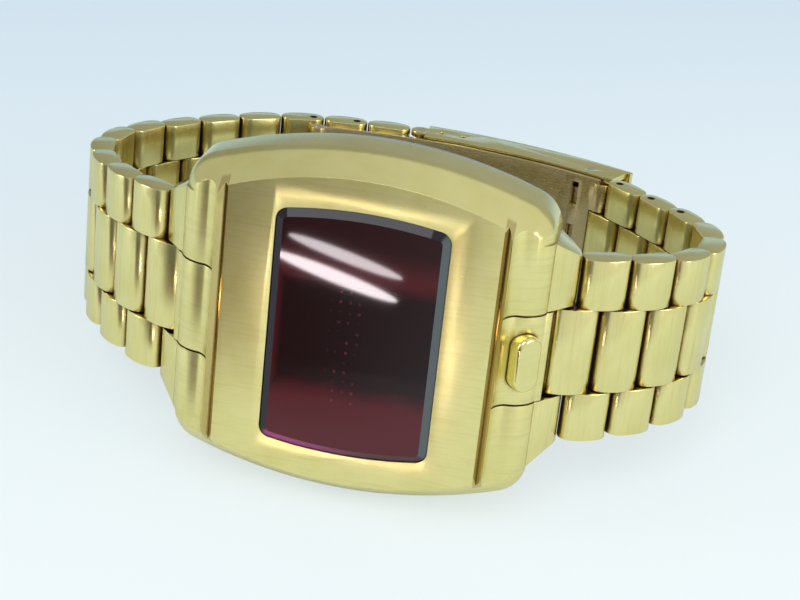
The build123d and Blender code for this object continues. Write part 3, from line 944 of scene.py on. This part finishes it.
class TreeMaker:
    """Base of the geometry node trees: named inputs and one result."""

    def __init__(self, name: str, sizes: dict[str, float]) -> None:
        """Make the tree.

        Args:
            name: Name of the tree.
            sizes: Default value of each size, which becomes a float input.
        """
        self.tree = bpy.data.node_groups.new(name, "GeometryNodeTree")
        self.graph = Graph(self.tree)
        self.sizes = sizes
        for label, value in sizes.items():
            socket = self.tree.interface.new_socket(label, in_out="INPUT",
                                                    socket_type="NodeSocketFloat")
            socket.default_value = value
        self.tree.interface.new_socket("Material", in_out="INPUT",
                                       socket_type="NodeSocketMaterial")
        self.tree.interface.new_socket("Geometry", in_out="OUTPUT",
                                       socket_type="NodeSocketGeometry")
        self.source = self.graph.node("NodeGroupInput")

    def size(self, label: str) -> Socket:
        """Socket of a named size."""
        return self.source.outputs[label]

    def negative(self, value: Socket) -> Socket:
        """The opposite of a value."""
        return self.graph.times(value, -1.0)

    def close(self, geometry: Socket) -> None:
        """End the tree: instances made real, material set.

        Args:
            geometry: What the tree has made.
        """
        real = self.graph.node("GeometryNodeRealizeInstances", {0: geometry})
        dressed = self.graph.node("GeometryNodeSetMaterial",
                                  {0: real.outputs[0], "Material": self.size("Material")})
        output = self.graph.node("NodeGroupOutput")
        self.tree.links.new(dressed.outputs[0], output.inputs[0])

    def vector(self, x: Any = 0.0, y: Any = 0.0, z: Any = 0.0) -> Socket:
        """Combine three values into a vector."""
        return self.graph.node("ShaderNodeCombineXYZ", {0: x, 1: y, 2: z}).outputs[0]

    def moved(self, geometry: Socket, by: Any) -> Socket:
        """Shift geometry."""
        return self.graph.node("GeometryNodeTransform",
                               {0: geometry, "Translation": by}).outputs[0]

    def joined(self, *parts: Socket) -> Socket:
        """Join geometries.

        Args:
            parts: The geometries.

        Returns:
            All of them as one.
        """
        made = self.graph.node("GeometryNodeJoinGeometry")
        for part in parts:
            self.tree.links.new(part, made.inputs[0])
        return made.outputs[0]

    def drum(self, radius: Any, low: Any, high: Any, sides: int) -> Socket:
        """Draw an upright cylinder between two heights.

        Args:
            radius: Its radius.
            low: Height of its lower face.
            high: Height of its upper face.
            sides: Number of its sides.

        Returns:
            The cylinder, round the Z axis.
        """
        middle = self.graph.math("DIVIDE", self.graph.plus(high, low), 2.0)
        made = self.graph.node("GeometryNodeMeshCylinder",
                               {"Vertices": sides, "Radius": radius,
                                "Depth": self.graph.minus(high, low)})
        return self.moved(made.outputs[0], self.vector(z=middle))

    def cut(self, stock: Socket, *cutters: Socket) -> Socket:
        """Take cutters out of a solid.

        Args:
            stock: The solid.
            cutters: What is taken out of it.

        Returns:
            What is left.
        """
        made = self.graph.node("GeometryNodeMeshBoolean", {0: stock},
                               operation="DIFFERENCE", solver="EXACT")
        for cutter in cutters:
            self.tree.links.new(cutter, made.inputs[1])
        return made.outputs[0]

    def make(self, name: str, values: dict[str, float], material: bpy.types.Material,
             placement: Matrix, sharp_deg: float = 40.0) -> bpy.types.Object:
        """Run the tree once.

        Args:
            name: Name of the piece.
            values: A value for each named size.
            material: Material of the faces.
            placement: Where the drawn mesh goes in the row frame.
            sharp_deg: Edges steeper than this stay sharp.

        Returns:
            The piece, as a plain mesh at the origin.
        """
        piece = new_piece(name, bpy.data.meshes.new(name))
        modifier = piece.modifiers.new(self.tree.name, "NODES")
        modifier.node_group = self.tree
        for item in self.tree.interface.items_tree:
            if item.item_type != "SOCKET" or item.in_out != "INPUT":
                continue
            if item.name == "Material":
                modifier[item.identifier] = material
            else:
                modifier[item.identifier] = float(values.get(item.name, self.sizes[item.name]))
        apply_modifiers(piece)
        piece.data.transform(placement)
        finish_mesh(piece.data, sharp_deg)
        return piece


class LinkTree(TreeMaker):
    """Rounded link blocks, drawn from the first pin at the origin along X."""

    SIDES = 40
    BORE_SIDES = 24
    DOME_POINTS = 13
    OVERRUN = 1.4
    BEND = 1 - math.sqrt(0.5)
    # Inset and drop of the rings that round an edge, in shares of its width
    EDGE_STEPS = ((1.0, 0.0), (BEND, BEND), (0.0, 1.0))
    # Arcs that lie inside the block, and so leave it flat until a dome is set
    FLAT = {"Dome Radius": 0.5, "Dome Sink": 0.0, "Dome Start": 1.2, "Dome Sweep": 0.75}

    def dome(self, low: Any, high: Any, inset: float, drop: float) -> Socket:
        """Draw two arcs along the domed outer face, at its lower and upper edge.

        Args:
            low: Height of the lower face.
            high: Height of the upper face.
            inset: Share of the broken edge that the arcs lie further in.
            drop: Share of the broken edge that they lie from the faces.

        Returns:
            The arcs, for the hull of a block.
        """
        edge = self.size("Edge")
        radius = self.graph.minus(self.size("Dome Radius"), self.graph.times(edge, inset))
        arc = self.graph.node("GeometryNodeCurveArc",
                              {"Resolution": self.DOME_POINTS, "Radius": radius,
                               "Start Angle": self.size("Dome Start"),
                               "Sweep Angle": self.size("Dome Sweep")}, mode="RADIUS")
        line = self.graph.node("GeometryNodeCurveToMesh", {0: arc.outputs[0]}).outputs[0]
        sink = self.graph.times(edge, drop)
        middle = self.graph.times(self.size("Span"), 0.5)
        heights = (self.graph.plus(low, sink), self.graph.minus(high, sink))
        return self.joined(*[self.moved(line, self.vector(middle, self.size("Dome Sink"), z))
                             for z in heights])

    def block(self, low: Any, high: Any, high_end: Any, low_end: Any) -> Socket:
        """Draw one link block with softly broken edges.

        Args:
            low: Height of the lower face at the first pin.
            high: Height of the upper face at the first pin.
            high_end: Height of the upper face at the second pin.
            low_end: Height of the lower face at the second pin.

        Returns:
            The closed block.
        """
        parts = []
        for spot, bottom, top in ((0.0, low, high), (self.size("Span"), low_end, high_end)):
            for inset, drop in self.EDGE_STEPS:
                edge = self.size("Edge")
                radius = self.graph.minus(self.size("Radius"), self.graph.times(edge, inset))
                sink = self.graph.times(edge, drop)
                ring = self.drum(radius, self.graph.plus(bottom, sink),
                                 self.graph.minus(top, sink), self.SIDES)
                parts.append(self.moved(ring, self.vector(spot)))
        parts += [self.dome(low, high, inset, drop) for inset, drop in self.EDGE_STEPS]
        return self.graph.node("GeometryNodeConvexHull", {0: self.joined(*parts)}).outputs[0]

    def at_end(self, geometry: Socket) -> Socket:
        """Shift geometry from the first pin to the second."""
        return self.moved(geometry, self.vector(self.size("Span")))


class CentreLinkTree(LinkTree):
    """A centre link with a running bore at each end."""

    def __init__(self) -> None:
        """Build the tree."""
        super().__init__("centre_link", {"Span": 2.65, "Radius": 1.2, "Edge": 0.09,
                                         "Half": 4.0, "Bore": 0.545, **self.FLAT})
        half = self.size("Half")
        low = self.negative(half)
        stock = self.block(low, half, half, low)
        reach = self.graph.times(half, self.OVERRUN)
        bore = self.drum(self.size("Bore"), self.negative(reach), reach, self.BORE_SIDES)
        self.close(self.cut(stock, bore, self.at_end(bore)))


class OuterPairTree(LinkTree):
    """Two outer links and their pins, with a recess over a removable pin."""

    def __init__(self) -> None:
        """Build the tree."""
        super().__init__("outer_pair", {"Span": 2.65, "Radius": 1.2, "Edge": 0.1,
                                        "Inner": 4.0, "Outer": 8.0, "Pin": 0.5,
                                        "Recess": 0.45, "Recess Depth": 0.35, **self.FLAT})
        inner, outer = self.size("Inner"), self.size("Outer")
        low, lowest = self.negative(inner), self.negative(outer)
        floor = self.graph.minus(outer, self.size("Recess Depth"))
        above = self.graph.times(outer, self.OVERRUN)
        recess = self.size("Recess")
        hole = self.drum(recess, floor, above, self.BORE_SIDES)
        under = self.drum(recess, self.negative(above), self.negative(floor),
                          self.BORE_SIDES)
        upper = self.cut(self.block(inner, outer, outer, inner), self.at_end(hole))
        lower = self.cut(self.block(lowest, low, low, lowest), self.at_end(under))
        pin = self.drum(self.size("Pin"), low, inner, self.BORE_SIDES)
        self.close(self.joined(upper, lower, pin, self.at_end(pin)))


class DigitTree(TreeMaker):
    """A row of digits of small light dots, each on the seven edges of a grid."""

    DIGITS = 4

    def __init__(self) -> None:
        """Build the tree."""
        super().__init__("light_digits", {"Digit Width": 2.0, "Digit Height": 3.6,
                                          "Pitch": 3.9, "Dot": 0.11, "Step": 0.5})
        grid = self.graph.node("GeometryNodeMeshGrid",
                               {"Size X": self.size("Digit Height"),
                                "Size Y": self.size("Digit Width"),
                                "Vertices X": 3, "Vertices Y": 2})
        lines = self.graph.node("GeometryNodeMeshToCurve", {0: grid.outputs[0]})
        dots = self.graph.node("GeometryNodeCurveToPoints",
                               {0: lines.outputs[0], "Length": self.size("Step")},
                               mode="LENGTH")
        bead = self.graph.node("GeometryNodeMeshIcoSphere",
                               {"Radius": self.size("Dot"), "Subdivisions": 2})
        digit = self.graph.node("GeometryNodeInstanceOnPoints",
                                {0: dots.outputs[0], "Instance": bead.outputs[0]})
        real = self.graph.node("GeometryNodeRealizeInstances", {0: digit.outputs[0]})
        first = self.graph.times(self.size("Pitch"), (1 - self.DIGITS) / 2)
        row = self.graph.node("GeometryNodeMeshLine",
                              {"Count": self.DIGITS, "Start Location": self.vector(y=first),
                               "Offset": self.vector(y=self.size("Pitch"))})
        placed = self.graph.node("GeometryNodeInstanceOnPoints",
                                 {0: row.outputs[0], "Instance": real.outputs[0]})
        self.close(placed.outputs[0])


@dataclass
class Case:
    """Case, crystal, back, button and display, with sizes in millimetres.

    Attributes:
        shop: What every sub-assembly needs.
        rib_start: Distance from the middle where a polished rib begins.
        rib_end: Distance from the middle where it ends.
        edge: Width of the broken edges.
        crystal_sharp_deg: Edges of the crystal steeper than this stay sharp.
        display_depth: Depth of the light dots behind the face plate.
        display_shift: Shift of the light dots along X.
    """

    shop: Workshop
    rib_start: float = 14.0
    rib_end: float = 14.95
    edge: float = 0.07
    crystal_sharp_deg: float = 20.0
    display_depth: float = 1.93
    display_shift: float = -0.6

    def build(self) -> None:
        """Make and dress the case's pieces."""
        self.shell()
        self.fittings()
        self.crystal()
        self.display()
        self.inside()

    def shell(self) -> None:
        """Dress the case body and the two end links."""
        shop = self.shop
        gold = GoldPlate("case gold", roughness=0.31, polished_from=self.rib_start,
                         polished_to=self.rib_end, dirt_and_shade_reach=0.5)
        shop.adopt(shop.smooth_copy("case_body", "case_shell", self.edge), "case_body",
                   gold, Slot.CASE)
        links = GoldPlate("end link gold", grain=LINK_GRAIN)
        for side in ("left", "right"):
            shop.adopt(shop.smooth_copy(f"end_link_{side}", f"end_lugs_{side}", self.edge),
                       f"end_link_{side}", links, Slot.BRUSHED)

    def fittings(self) -> None:
        """Dress the case back and the push button."""
        shop = self.shop
        shop.adopt(shop.smooth_copy("case_back", "back_plate"), "case_back",
                   PlainMetal("back steel"), Slot.STEEL)
        polish = GoldPlate("button gold", roughness=0.12, flank_roughness=0.1,
                           line_depth=0.001, dirt_and_shade_reach=0.35)
        shop.adopt(shop.smooth_copy("command_button", "push_button"), "command_button",
                   polish, Slot.POLISHED)

    def crystal(self) -> None:
        """Dress the crystal."""
        piece = self.shop.smooth_copy("crystal", "crystal_glass",
                                      sharp_deg=self.crystal_sharp_deg)
        self.shop.adopt(piece, "crystal", DarkCrystal("red filter glass"), Slot.CRYSTAL)

    def display(self) -> None:
        """Lay the four digits of light dots on the display, under the crystal."""
        swap = Matrix(((1, 0, 0), (0, 0, 1), (0, 1, 0))).to_4x4()
        place = Matrix.Translation((self.display_shift, self.display_depth, 0)) @ swap
        dots = DigitTree().make("light_dots", {}, self.shop.material(LightDot("light dot")),
                                self.shop.watch.matrix @ place)
        # Swapping Y and Z has turned the beads inside out
        dots.data.flip_normals()
        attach(dots, "case")
        LOG.info("light_dots: %d faces", len(dots.data.polygons))

    def inside(self) -> None:
        """Coat the parts that keep their CAD shape."""
        seal = Moulded("seal rubber")
        for node in ("crystal_gasket", "back_gasket", "button_pad"):
            self.shop.coat(node, seal)
        plastic = Moulded("module plastic", color=(0.008, 0.006, 0.007), roughness=0.45,
                          grain=Noise(9.0, 4.0))
        self.shop.coat("led_module", plastic)
        self.shop.coat("battery_cells", PlainMetal("cell steel", color=(0.68, 0.68, 0.68)))


@dataclass
class Bracelet:
    """Both halves of the three-row bracelet, with sizes in millimetres.

    Attributes:
        shop: What every sub-assembly needs.
        row_gap: Gap between the rows.
        end_radius: Radius of a link's ends.
        crown: How far the outer face is domed.
        recess_depth: Depth of the recess over a removable pin.
        no_recess: Depth that keeps the cutter clear of a pair with fixed pins.
        removable: Pairs whose pins can be pushed out.
        flat: Links without a dome, at the two ends of the bracelet.
    """

    shop: Workshop
    row_gap: float = 0.11
    end_radius: float = 1.27
    crown: float = 0.2
    recess_depth: float = 0.35
    no_recess: float = -1.0
    removable: tuple[str, ...] = ("right_6", "right_7", "right_8", "left_10", "left_11")
    flat: tuple[str, ...] = ("centre_link_left_13", "centre_link_right_9")

    def dome(self, side: str, span: float) -> dict[str, float]:
        """Work out the arc that domes a link's outer face.

        Args:
            side: Which half of the bracelet the link is in.
            span: Distance between its pins.

        Returns:
            Named sizes for the link trees.
        """
        out = 1 if side == "left" else -1
        sink = ((span / 2) ** 2 - self.crown ** 2) / (2 * self.crown)
        spread = math.atan2(span / 2, sink)
        return {"Dome Radius": sink + self.crown + self.end_radius,
                "Dome Sink": -out * sink,
                "Dome Start": out * math.pi / 2 - spread,
                "Dome Sweep": 2 * spread}

    def pins(self, node: str) -> tuple[Vector, Vector]:
        """Find a link's pins from the joints of its body.

        Args:
            node: The link's CAD node.

        Returns:
            First and second pin in the watch's frame.
        """
        body = self.shop.body_of(node)
        watch = self.shop.watch
        joints = self.shop.frame["joints"]
        first = next(j for j in joints if j["child"] == body)
        after = [j for j in joints if j["parent"] == body]
        if after:
            end = Vector(after[0]["pos_m"])
        else:
            low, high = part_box("end_pin")
            end = (low + high) / 2
        return watch.local(Vector(first["pos_m"])), watch.local(end)

    def half_width(self, node: str) -> float:
        """Largest reach of a node along the wrist axis, from the middle."""
        spots = self.shop.frame["nodes"][node].data.vertices
        return max(self.shop.watch.local(v.co).z for v in spots)

    def sizes(self, node: str, span: float) -> dict[str, float]:
        """Work out a link's sizes from its CAD node.

        Args:
            node: The link's CAD node.
            span: Distance between its pins.

        Returns:
            Named sizes for its tree.
        """
        kind, side, number = node.rsplit("_", 2)
        half = self.half_width(node)
        sizes = {"Span": span, "Radius": self.end_radius}
        if node not in self.flat:
            sizes |= self.dome(side, span)
        if kind == "centre_link":
            return sizes | {"Half": half}
        mate = self.half_width(f"centre_link_{side}_{int(number) + 1}")
        recessed = f"{side}_{number}" in self.removable
        return sizes | {"Inner": mate + self.row_gap, "Outer": half,
                        "Recess Depth": self.recess_depth if recessed else self.no_recess}

    def build(self) -> None:
        """Make and dress every link."""
        trees = {"centre_link": CentreLinkTree(), "outer_pair": OuterPairTree()}
        finish = GoldPlate("link gold", grain=LINK_GRAIN, dirt_and_shade_reach=0.9)
        material = self.shop.material(finish)
        names = [node for nodes in self.shop.bodies.values() for node in nodes]
        for node in names:
            if not node.startswith(tuple(trees)):
                continue
            start, end = self.pins(node)
            heading = math.atan2(end.y - start.y, end.x - start.x)
            place = (self.shop.watch.matrix @ Matrix.Translation((start.x, start.y, 0))
                     @ Matrix.Rotation(heading, 4, "Z"))
            sizes = self.sizes(node, (end.xy - start.xy).length)
            tree = trees[node.rsplit("_", 2)[0]]
            piece = tree.make(f"{node}_shell", sizes, material, place)
            self.shop.adopt(piece, node, finish, Slot.BRUSHED)


@dataclass
class Clasp:
    """Fold-over clasp: cover, two leaves and their pins.

    Attributes:
        shop: What every sub-assembly needs.
        edge: Width of the broken edges, in millimetres.
    """

    shop: Workshop
    edge: float = 0.06

    def build(self) -> None:
        """Make and dress the clasp's pieces."""
        shop = self.shop
        cover = GoldPlate("cover gold", flank_from=0.6, dirt_and_shade_reach=0.4)
        leaf = GoldPlate("leaf gold", color=(0.74, 0.58, 0.30), roughness=0.24,
                         flank_from=0.7, dirt_and_shade_reach=0.4)
        shop.adopt(shop.smooth_copy("clasp_cover", "cover_shell", self.edge), "clasp_cover",
                   cover, Slot.BRUSHED)
        for name in ("middle", "inner"):
            shop.adopt(shop.smooth_copy(f"clasp_{name}_leaf", f"{name}_leaf_shell", self.edge),
                       f"clasp_{name}_leaf", leaf, Slot.STEEL)
        pin = PlainMetal("pin steel", color=(0.60, 0.56, 0.48))
        for node in ("spring_bar", "cover_hinge_pin", "leaf_hinge_pin", "end_pin"):
            shop.coat(node, pin)


@dataclass(frozen=True)
class Camera:
    """Camera, fitted to the photograph in the watch's frame.

    Attributes:
        azimuth: Angle to the right of the face plate's normal, in degrees.
        elevation: Angle above that normal, in degrees.
        roll: Turn about the line of sight, in degrees.
        shift_right: Shift to the right of the face plate's middle, in millimetres.
        shift_up: Shift up from it, in millimetres.
        distance: Distance from it, in millimetres.
        focal_px: Focal length in pixels of the photograph.
        picture_px: Width of the photograph in pixels.
        sensor: Width of the sensor, in millimetres.
        near: Nearest distance that is drawn, in metres.
    """

    azimuth: float = 7.97
    elevation: float = 22.96
    roll: float = 6.32
    shift_right: float = 4.8204
    shift_up: float = 3.8362
    distance: float = 198.056
    focal_px: float = 1951.73
    picture_px: float = 800.0
    sensor: float = 36.0
    near: float = 0.01

    def axes(self) -> tuple[Vector, Vector, Vector]:
        """Work out how the camera is turned.

        Returns:
            Right, up and back of the camera in the watch's frame.
        """
        az, el, roll = (math.radians(a) for a in (self.azimuth, self.elevation, self.roll))
        back = Vector((math.sin(az) * math.cos(el), -math.cos(az) * math.cos(el), math.sin(el)))
        right = Vector((math.cos(az), math.sin(az), 0))
        up = back.cross(right)
        return (right * math.cos(roll) + up * math.sin(roll),
                up * math.cos(roll) - right * math.sin(roll), back)

    def eye(self) -> Vector:
        """Where the camera stands in the watch's frame."""
        right, up, back = self.axes()
        return back * self.distance + right * self.shift_right + up * self.shift_up

    def build(self, watch: WatchFrame) -> None:
        """Place the camera.

        Args:
            watch: The watch's frame.
        """
        turn = Matrix([watch.direction(way) for way in self.axes()]).transposed()
        lens = bpy.data.cameras.new("camera")
        lens.sensor_width = self.sensor
        lens.lens = self.focal_px * self.sensor / self.picture_px
        lens.clip_start = self.near
        camera = bpy.data.objects.new("camera", lens)
        camera.matrix_world = Matrix.Translation(watch.point(self.eye())) @ turn.to_4x4()
        bpy.context.scene.collection.objects.link(camera)
        bpy.context.scene.camera = camera


@dataclass(frozen=True)
class Softbox:
    """Soft rectangular lamp aimed at the watch.

    Attributes:
        name: Its name.
        spot: Where it hangs, in metres.
        size: Its width and height, in metres.
        power: Its power in watts.
    """

    name: str
    spot: tuple[float, float, float]
    size: tuple[float, float]
    power: float


@dataclass(frozen=True)
class Tube:
    """Small strip lamp, placed so that the crystal mirrors it to the camera.

    Attributes:
        name: Its name.
        start: Left end of its reflection, as X and Z in the watch's frame.
        end: Right end of its reflection.
        width: Height of its reflection.
        power: Its power in watts.
    """

    name: str
    start: tuple[float, float]
    end: tuple[float, float]
    width: float
    power: float


@dataclass
class Lamps:
    """Softboxes round the watch and two tubes that the crystal mirrors.

    Attributes:
        watch: The watch's frame.
        camera: The camera, which the tubes' places follow from.
        target: What the softboxes are aimed at, in metres.
        softboxes: The softboxes.
        tubes: The tubes.
        tube_away: Distance of a tube from the crystal, in millimetres.
        tube_color: Colour of the tubes' light.
        crystal_rise: Height of the crystal over the face plate, in millimetres.
    """

    watch: WatchFrame
    camera: Camera
    target: tuple[float, float, float] = (0.0, 0.0, 0.015)
    softboxes: tuple[Softbox, ...] = (
        Softbox("overhead softbox", (-0.10, -0.32, 0.55), (0.30, 0.30), 0.7),
        Softbox("window", (0.55, -0.25, 0.30), (0.30, 0.30), 0.9),
        Softbox("left card", (-0.55, -0.15, 0.20), (0.15, 0.30), 0.5))
    tubes: tuple[Tube, ...] = (Tube("tube 1", (-7.4, 10.2), (4.5, 7.4), 1.1, 0.0016),
                               Tube("tube 2", (-8.8, 8.1), (4.2, 4.9), 1.3, 0.0032))
    tube_away: float = 100.0
    tube_color: Color = (1.0, 0.90, 0.93)
    crystal_rise: float = 0.35

    def hang(self, lamp: Softbox | Tube, shape: str, size: tuple[float, float],
             place: Matrix) -> bpy.types.Object:
        """Hang one area lamp.

        Args:
            lamp: Which lamp.
            shape: Blender's name of its shape.
            size: Its width and height, in metres.
            place: Where it hangs; it shines along its own minus Z.

        Returns:
            The lamp's object.
        """
        light = bpy.data.lights.new(lamp.name, "AREA")
        light.shape = shape
        light.size, light.size_y = size
        light.energy = lamp.power
        hung = bpy.data.objects.new(lamp.name, light)
        hung.matrix_world = place
        bpy.context.scene.collection.objects.link(hung)
        return hung

    def softbox(self, box: Softbox) -> None:
        """Hang one softbox.

        Args:
            box: Which softbox.
        """
        aim = Vector(self.target) - Vector(box.spot)
        turn = aim.to_track_quat("-Z", "Y").to_matrix().to_4x4()
        self.hang(box, "RECTANGLE", box.size, Matrix.Translation(box.spot) @ turn)

    def on_crystal(self, spot: Sequence[float]) -> Vector:
        """Point of the crystal's face, in the watch's frame, at an X and Z."""
        return Vector((spot[0], -self.crystal_rise, spot[1]))

    def mirrored(self, spot: Sequence[float]) -> Vector:
        """Find where a lamp hangs that the camera sees at a point of the crystal.

        Args:
            spot: X and Z of that point in the watch's frame.

        Returns:
            The lamp's place in the row's frame.
        """
        point = self.on_crystal(spot)
        ray = (point - self.camera.eye()).normalized()
        ray.y = -ray.y
        return self.watch.point(point + ray * self.tube_away)

    def tube(self, tube: Tube) -> None:
        """Hang one strip lamp in front of the crystal.

        Args:
            tube: Which tube.
        """
        middle = [(a + b) / 2 for a, b in zip(tube.start, tube.end)]
        spot = self.mirrored(middle)
        back = (spot - self.watch.point(self.on_crystal(middle))).normalized()
        side = self.mirrored(tube.end) - self.mirrored(tube.start)
        side -= back * side.dot(back)
        width = tube.width * MM * (1 + self.tube_away / self.camera.distance)
        size = (side.length, width)
        side.normalize()
        turn = Matrix((side, back.cross(side), back)).transposed().to_4x4()
        lamp = self.hang(tube, "ELLIPSE", size, Matrix.Translation(spot) @ turn)
        lamp.data.color = self.tube_color
        lamp.visible_camera = False

    def build(self) -> None:
        """Hang every lamp."""
        for box in self.softboxes:
            self.softbox(box)
        for tube in self.tubes:
            self.tube(tube)


@dataclass
class Backdrop:
    """Paper on the floor and light from all sides.

    The metal mirrors a shade, which lies on the paper in front and in the low
    sky over it, to the left of the camera.

    Attributes:
        floor_reach: Half the width of the floor, in metres.
        near_tone: Colour of the paper in front.
        shaded_far_tone: Its colour behind the watch, darker and bluer as painted shade.
        tone_step: Where the one turns into the other, in metres.
        tone_slant: How much that line runs back on the right.
        floor_glow: Share of the paper that looks evenly lit to the camera.
        shade_tone: Colour of the shaded paper.
        shade_from: Distance from the watch where the shade begins, in metres.
        shade_middle: Compass direction of the shade, in radians.
        shade_reach: Half its width, in radians.
        shade_core: Share of that half which is fully dark.
        sky_tone: Colour of the surroundings.
        sky_strength: Their strength.
        sky_side: Light from the left and from the right.
        sky_shade: How dark the shade is at each height.
        sky_behind: Where the sky behind the watch begins.
        sky_top: Where the sky above it begins.
        sky_dim: Light from behind, where that sky is full.
    """

    floor_reach: float = 1.5
    near_tone: Color = (0.91, 0.985, 1.0)
    shaded_far_tone: Color = (0.57, 0.72, 0.85)
    tone_step: Step = Step(-0.05, 0.18)
    tone_slant: float = 0.35
    floor_glow: float = 0.62
    shade_tone: Color = (0.24, 0.185, 0.165)
    shade_from: Step = Step(0.06, 0.11)
    shade_middle: float = -0.45
    shade_reach: float = 0.55
    shade_core: float = 0.4
    sky_tone: Color = (0.90, 0.96, 1.0)
    sky_strength: float = 0.85
    sky_side: Step = Step(-0.7, 0.6, 0.7, 1.0)
    sky_shade: Step = Step(0.15, 0.6, 0.8, 0.0)
    sky_behind: Step = Step(0.1, 0.7)
    sky_top: Step = Step(0.6, 0.9, 1.0, 0.0)
    sky_dim: Step = Step(0.0, 1.0, 1.0, 0.6)

    def shade(self, graph: Graph, across: Socket, deep: Socket) -> Socket:
        """Find the share of shade by compass direction.

        Args:
            graph: The tree of the paper or the sky.
            across: X of the point or direction.
            deep: Its Y.

        Returns:
            1 in the middle of the shade and 0 outside it.
        """
        angle = graph.math("ARCTAN2", across, graph.times(deep, -1.0))
        off = graph.unsigned(graph.minus(angle, self.shade_middle))
        return graph.ramp(off, Step(self.shade_reach * self.shade_core, self.shade_reach,
                                    1.0, 0.0))

    def paper(self) -> bpy.types.Material:
        """Make the paper's material.

        Returns:
            The material; its tone darkens towards the back and the left as painted shade, and
            only what the metal mirrors of it gets the shade patch.
        """
        material = bpy.data.materials.new("floor paper")
        graph = Graph.cleared(material)
        spot = graph.node("ShaderNodeTexCoord").outputs["Object"]
        across, deep, _ = graph.split(spot)
        # Painted shade: the paper grows darker and bluer towards the back and the left.
        line = graph.minus(deep, graph.times(across, self.tone_slant))
        tone = graph.blend(graph.ramp(line, self.tone_step), self.near_tone, self.shaded_far_tone)
        rays = graph.node("ShaderNodeLightPath").outputs
        away = graph.node("ShaderNodeVectorMath", {0: spot}, operation="LENGTH")
        shade = graph.times(self.shade(graph, across, deep),
                            graph.ramp(away.outputs["Value"], self.shade_from))
        shade = graph.times(shade, rays["Is Glossy Ray"])
        lit = graph.node("ShaderNodeBsdfDiffuse",
                         {"Color": graph.blend(shade, tone, self.shade_tone)})
        glow = graph.node("ShaderNodeEmission", {"Color": tone, "Strength": 1.0})
        seen = graph.times(rays["Is Camera Ray"], self.floor_glow)
        mixed = graph.node("ShaderNodeMixShader",
                           {0: seen, 1: lit.outputs[0], 2: glow.outputs[0]})
        graph.node("ShaderNodeOutputMaterial", {0: mixed.outputs[0]})
        return material

    def floor(self) -> None:
        """Lay the pale floor."""
        mesh = bpy.data.meshes.new("floor")
        corners = ((-1, -1), (1, -1), (1, 1), (-1, 1))
        mesh.from_pydata([(x * self.floor_reach, y * self.floor_reach, 0)
                          for x, y in corners], [], [range(len(corners))])
        mesh.materials.append(self.paper())
        floor = bpy.data.objects.new("floor", mesh)
        bpy.context.scene.collection.objects.link(floor)

    def sky(self) -> None:
        """Light the surroundings: bright above and on the right, darker behind."""
        world = bpy.data.worlds.new("studio")
        bpy.context.scene.world = world
        graph = Graph.cleared(world)
        way = graph.node("ShaderNodeTexCoord").outputs["Generated"]
        across, deep, up = graph.split(way)
        shade = graph.times(self.shade(graph, across, deep), graph.ramp(up, self.sky_shade))
        lit = graph.times(graph.ramp(across, self.sky_side), graph.minus(1.0, shade))
        behind = graph.times(graph.ramp(deep, self.sky_behind), graph.ramp(up, self.sky_top))
        lit = graph.times(lit, graph.ramp(behind, self.sky_dim))
        tone = graph.blend(lit, (0.0, 0.0, 0.0), self.sky_tone)
        back = graph.node("ShaderNodeBackground",
                          {"Color": tone, "Strength": self.sky_strength})
        graph.node("ShaderNodeOutputWorld", {0: back.outputs[0]})

    def build(self) -> None:
        """Lay the floor and light the surroundings."""
        self.floor()
        self.sky()


def main(back_depth: float = 10.5) -> None:
    """Dress the watch.

    Args:
        back_depth: Face plate to the case back's outer face, in millimetres.
    """
    logging.basicConfig(level=logging.INFO, format="%(name)s: %(message)s")
    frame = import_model()
    watch = WatchFrame.from_frame(frame, back_depth)
    shop = Workshop(frame, watch)
    Case(shop).build()
    Bracelet(shop).build()
    Clasp(shop).build()
    bpy.context.scene.view_settings.view_transform = "Standard"
    camera = Camera()
    camera.build(watch)
    Backdrop().build()
    Lamps(watch, camera).build()


if __name__ == "__main__":
    main()
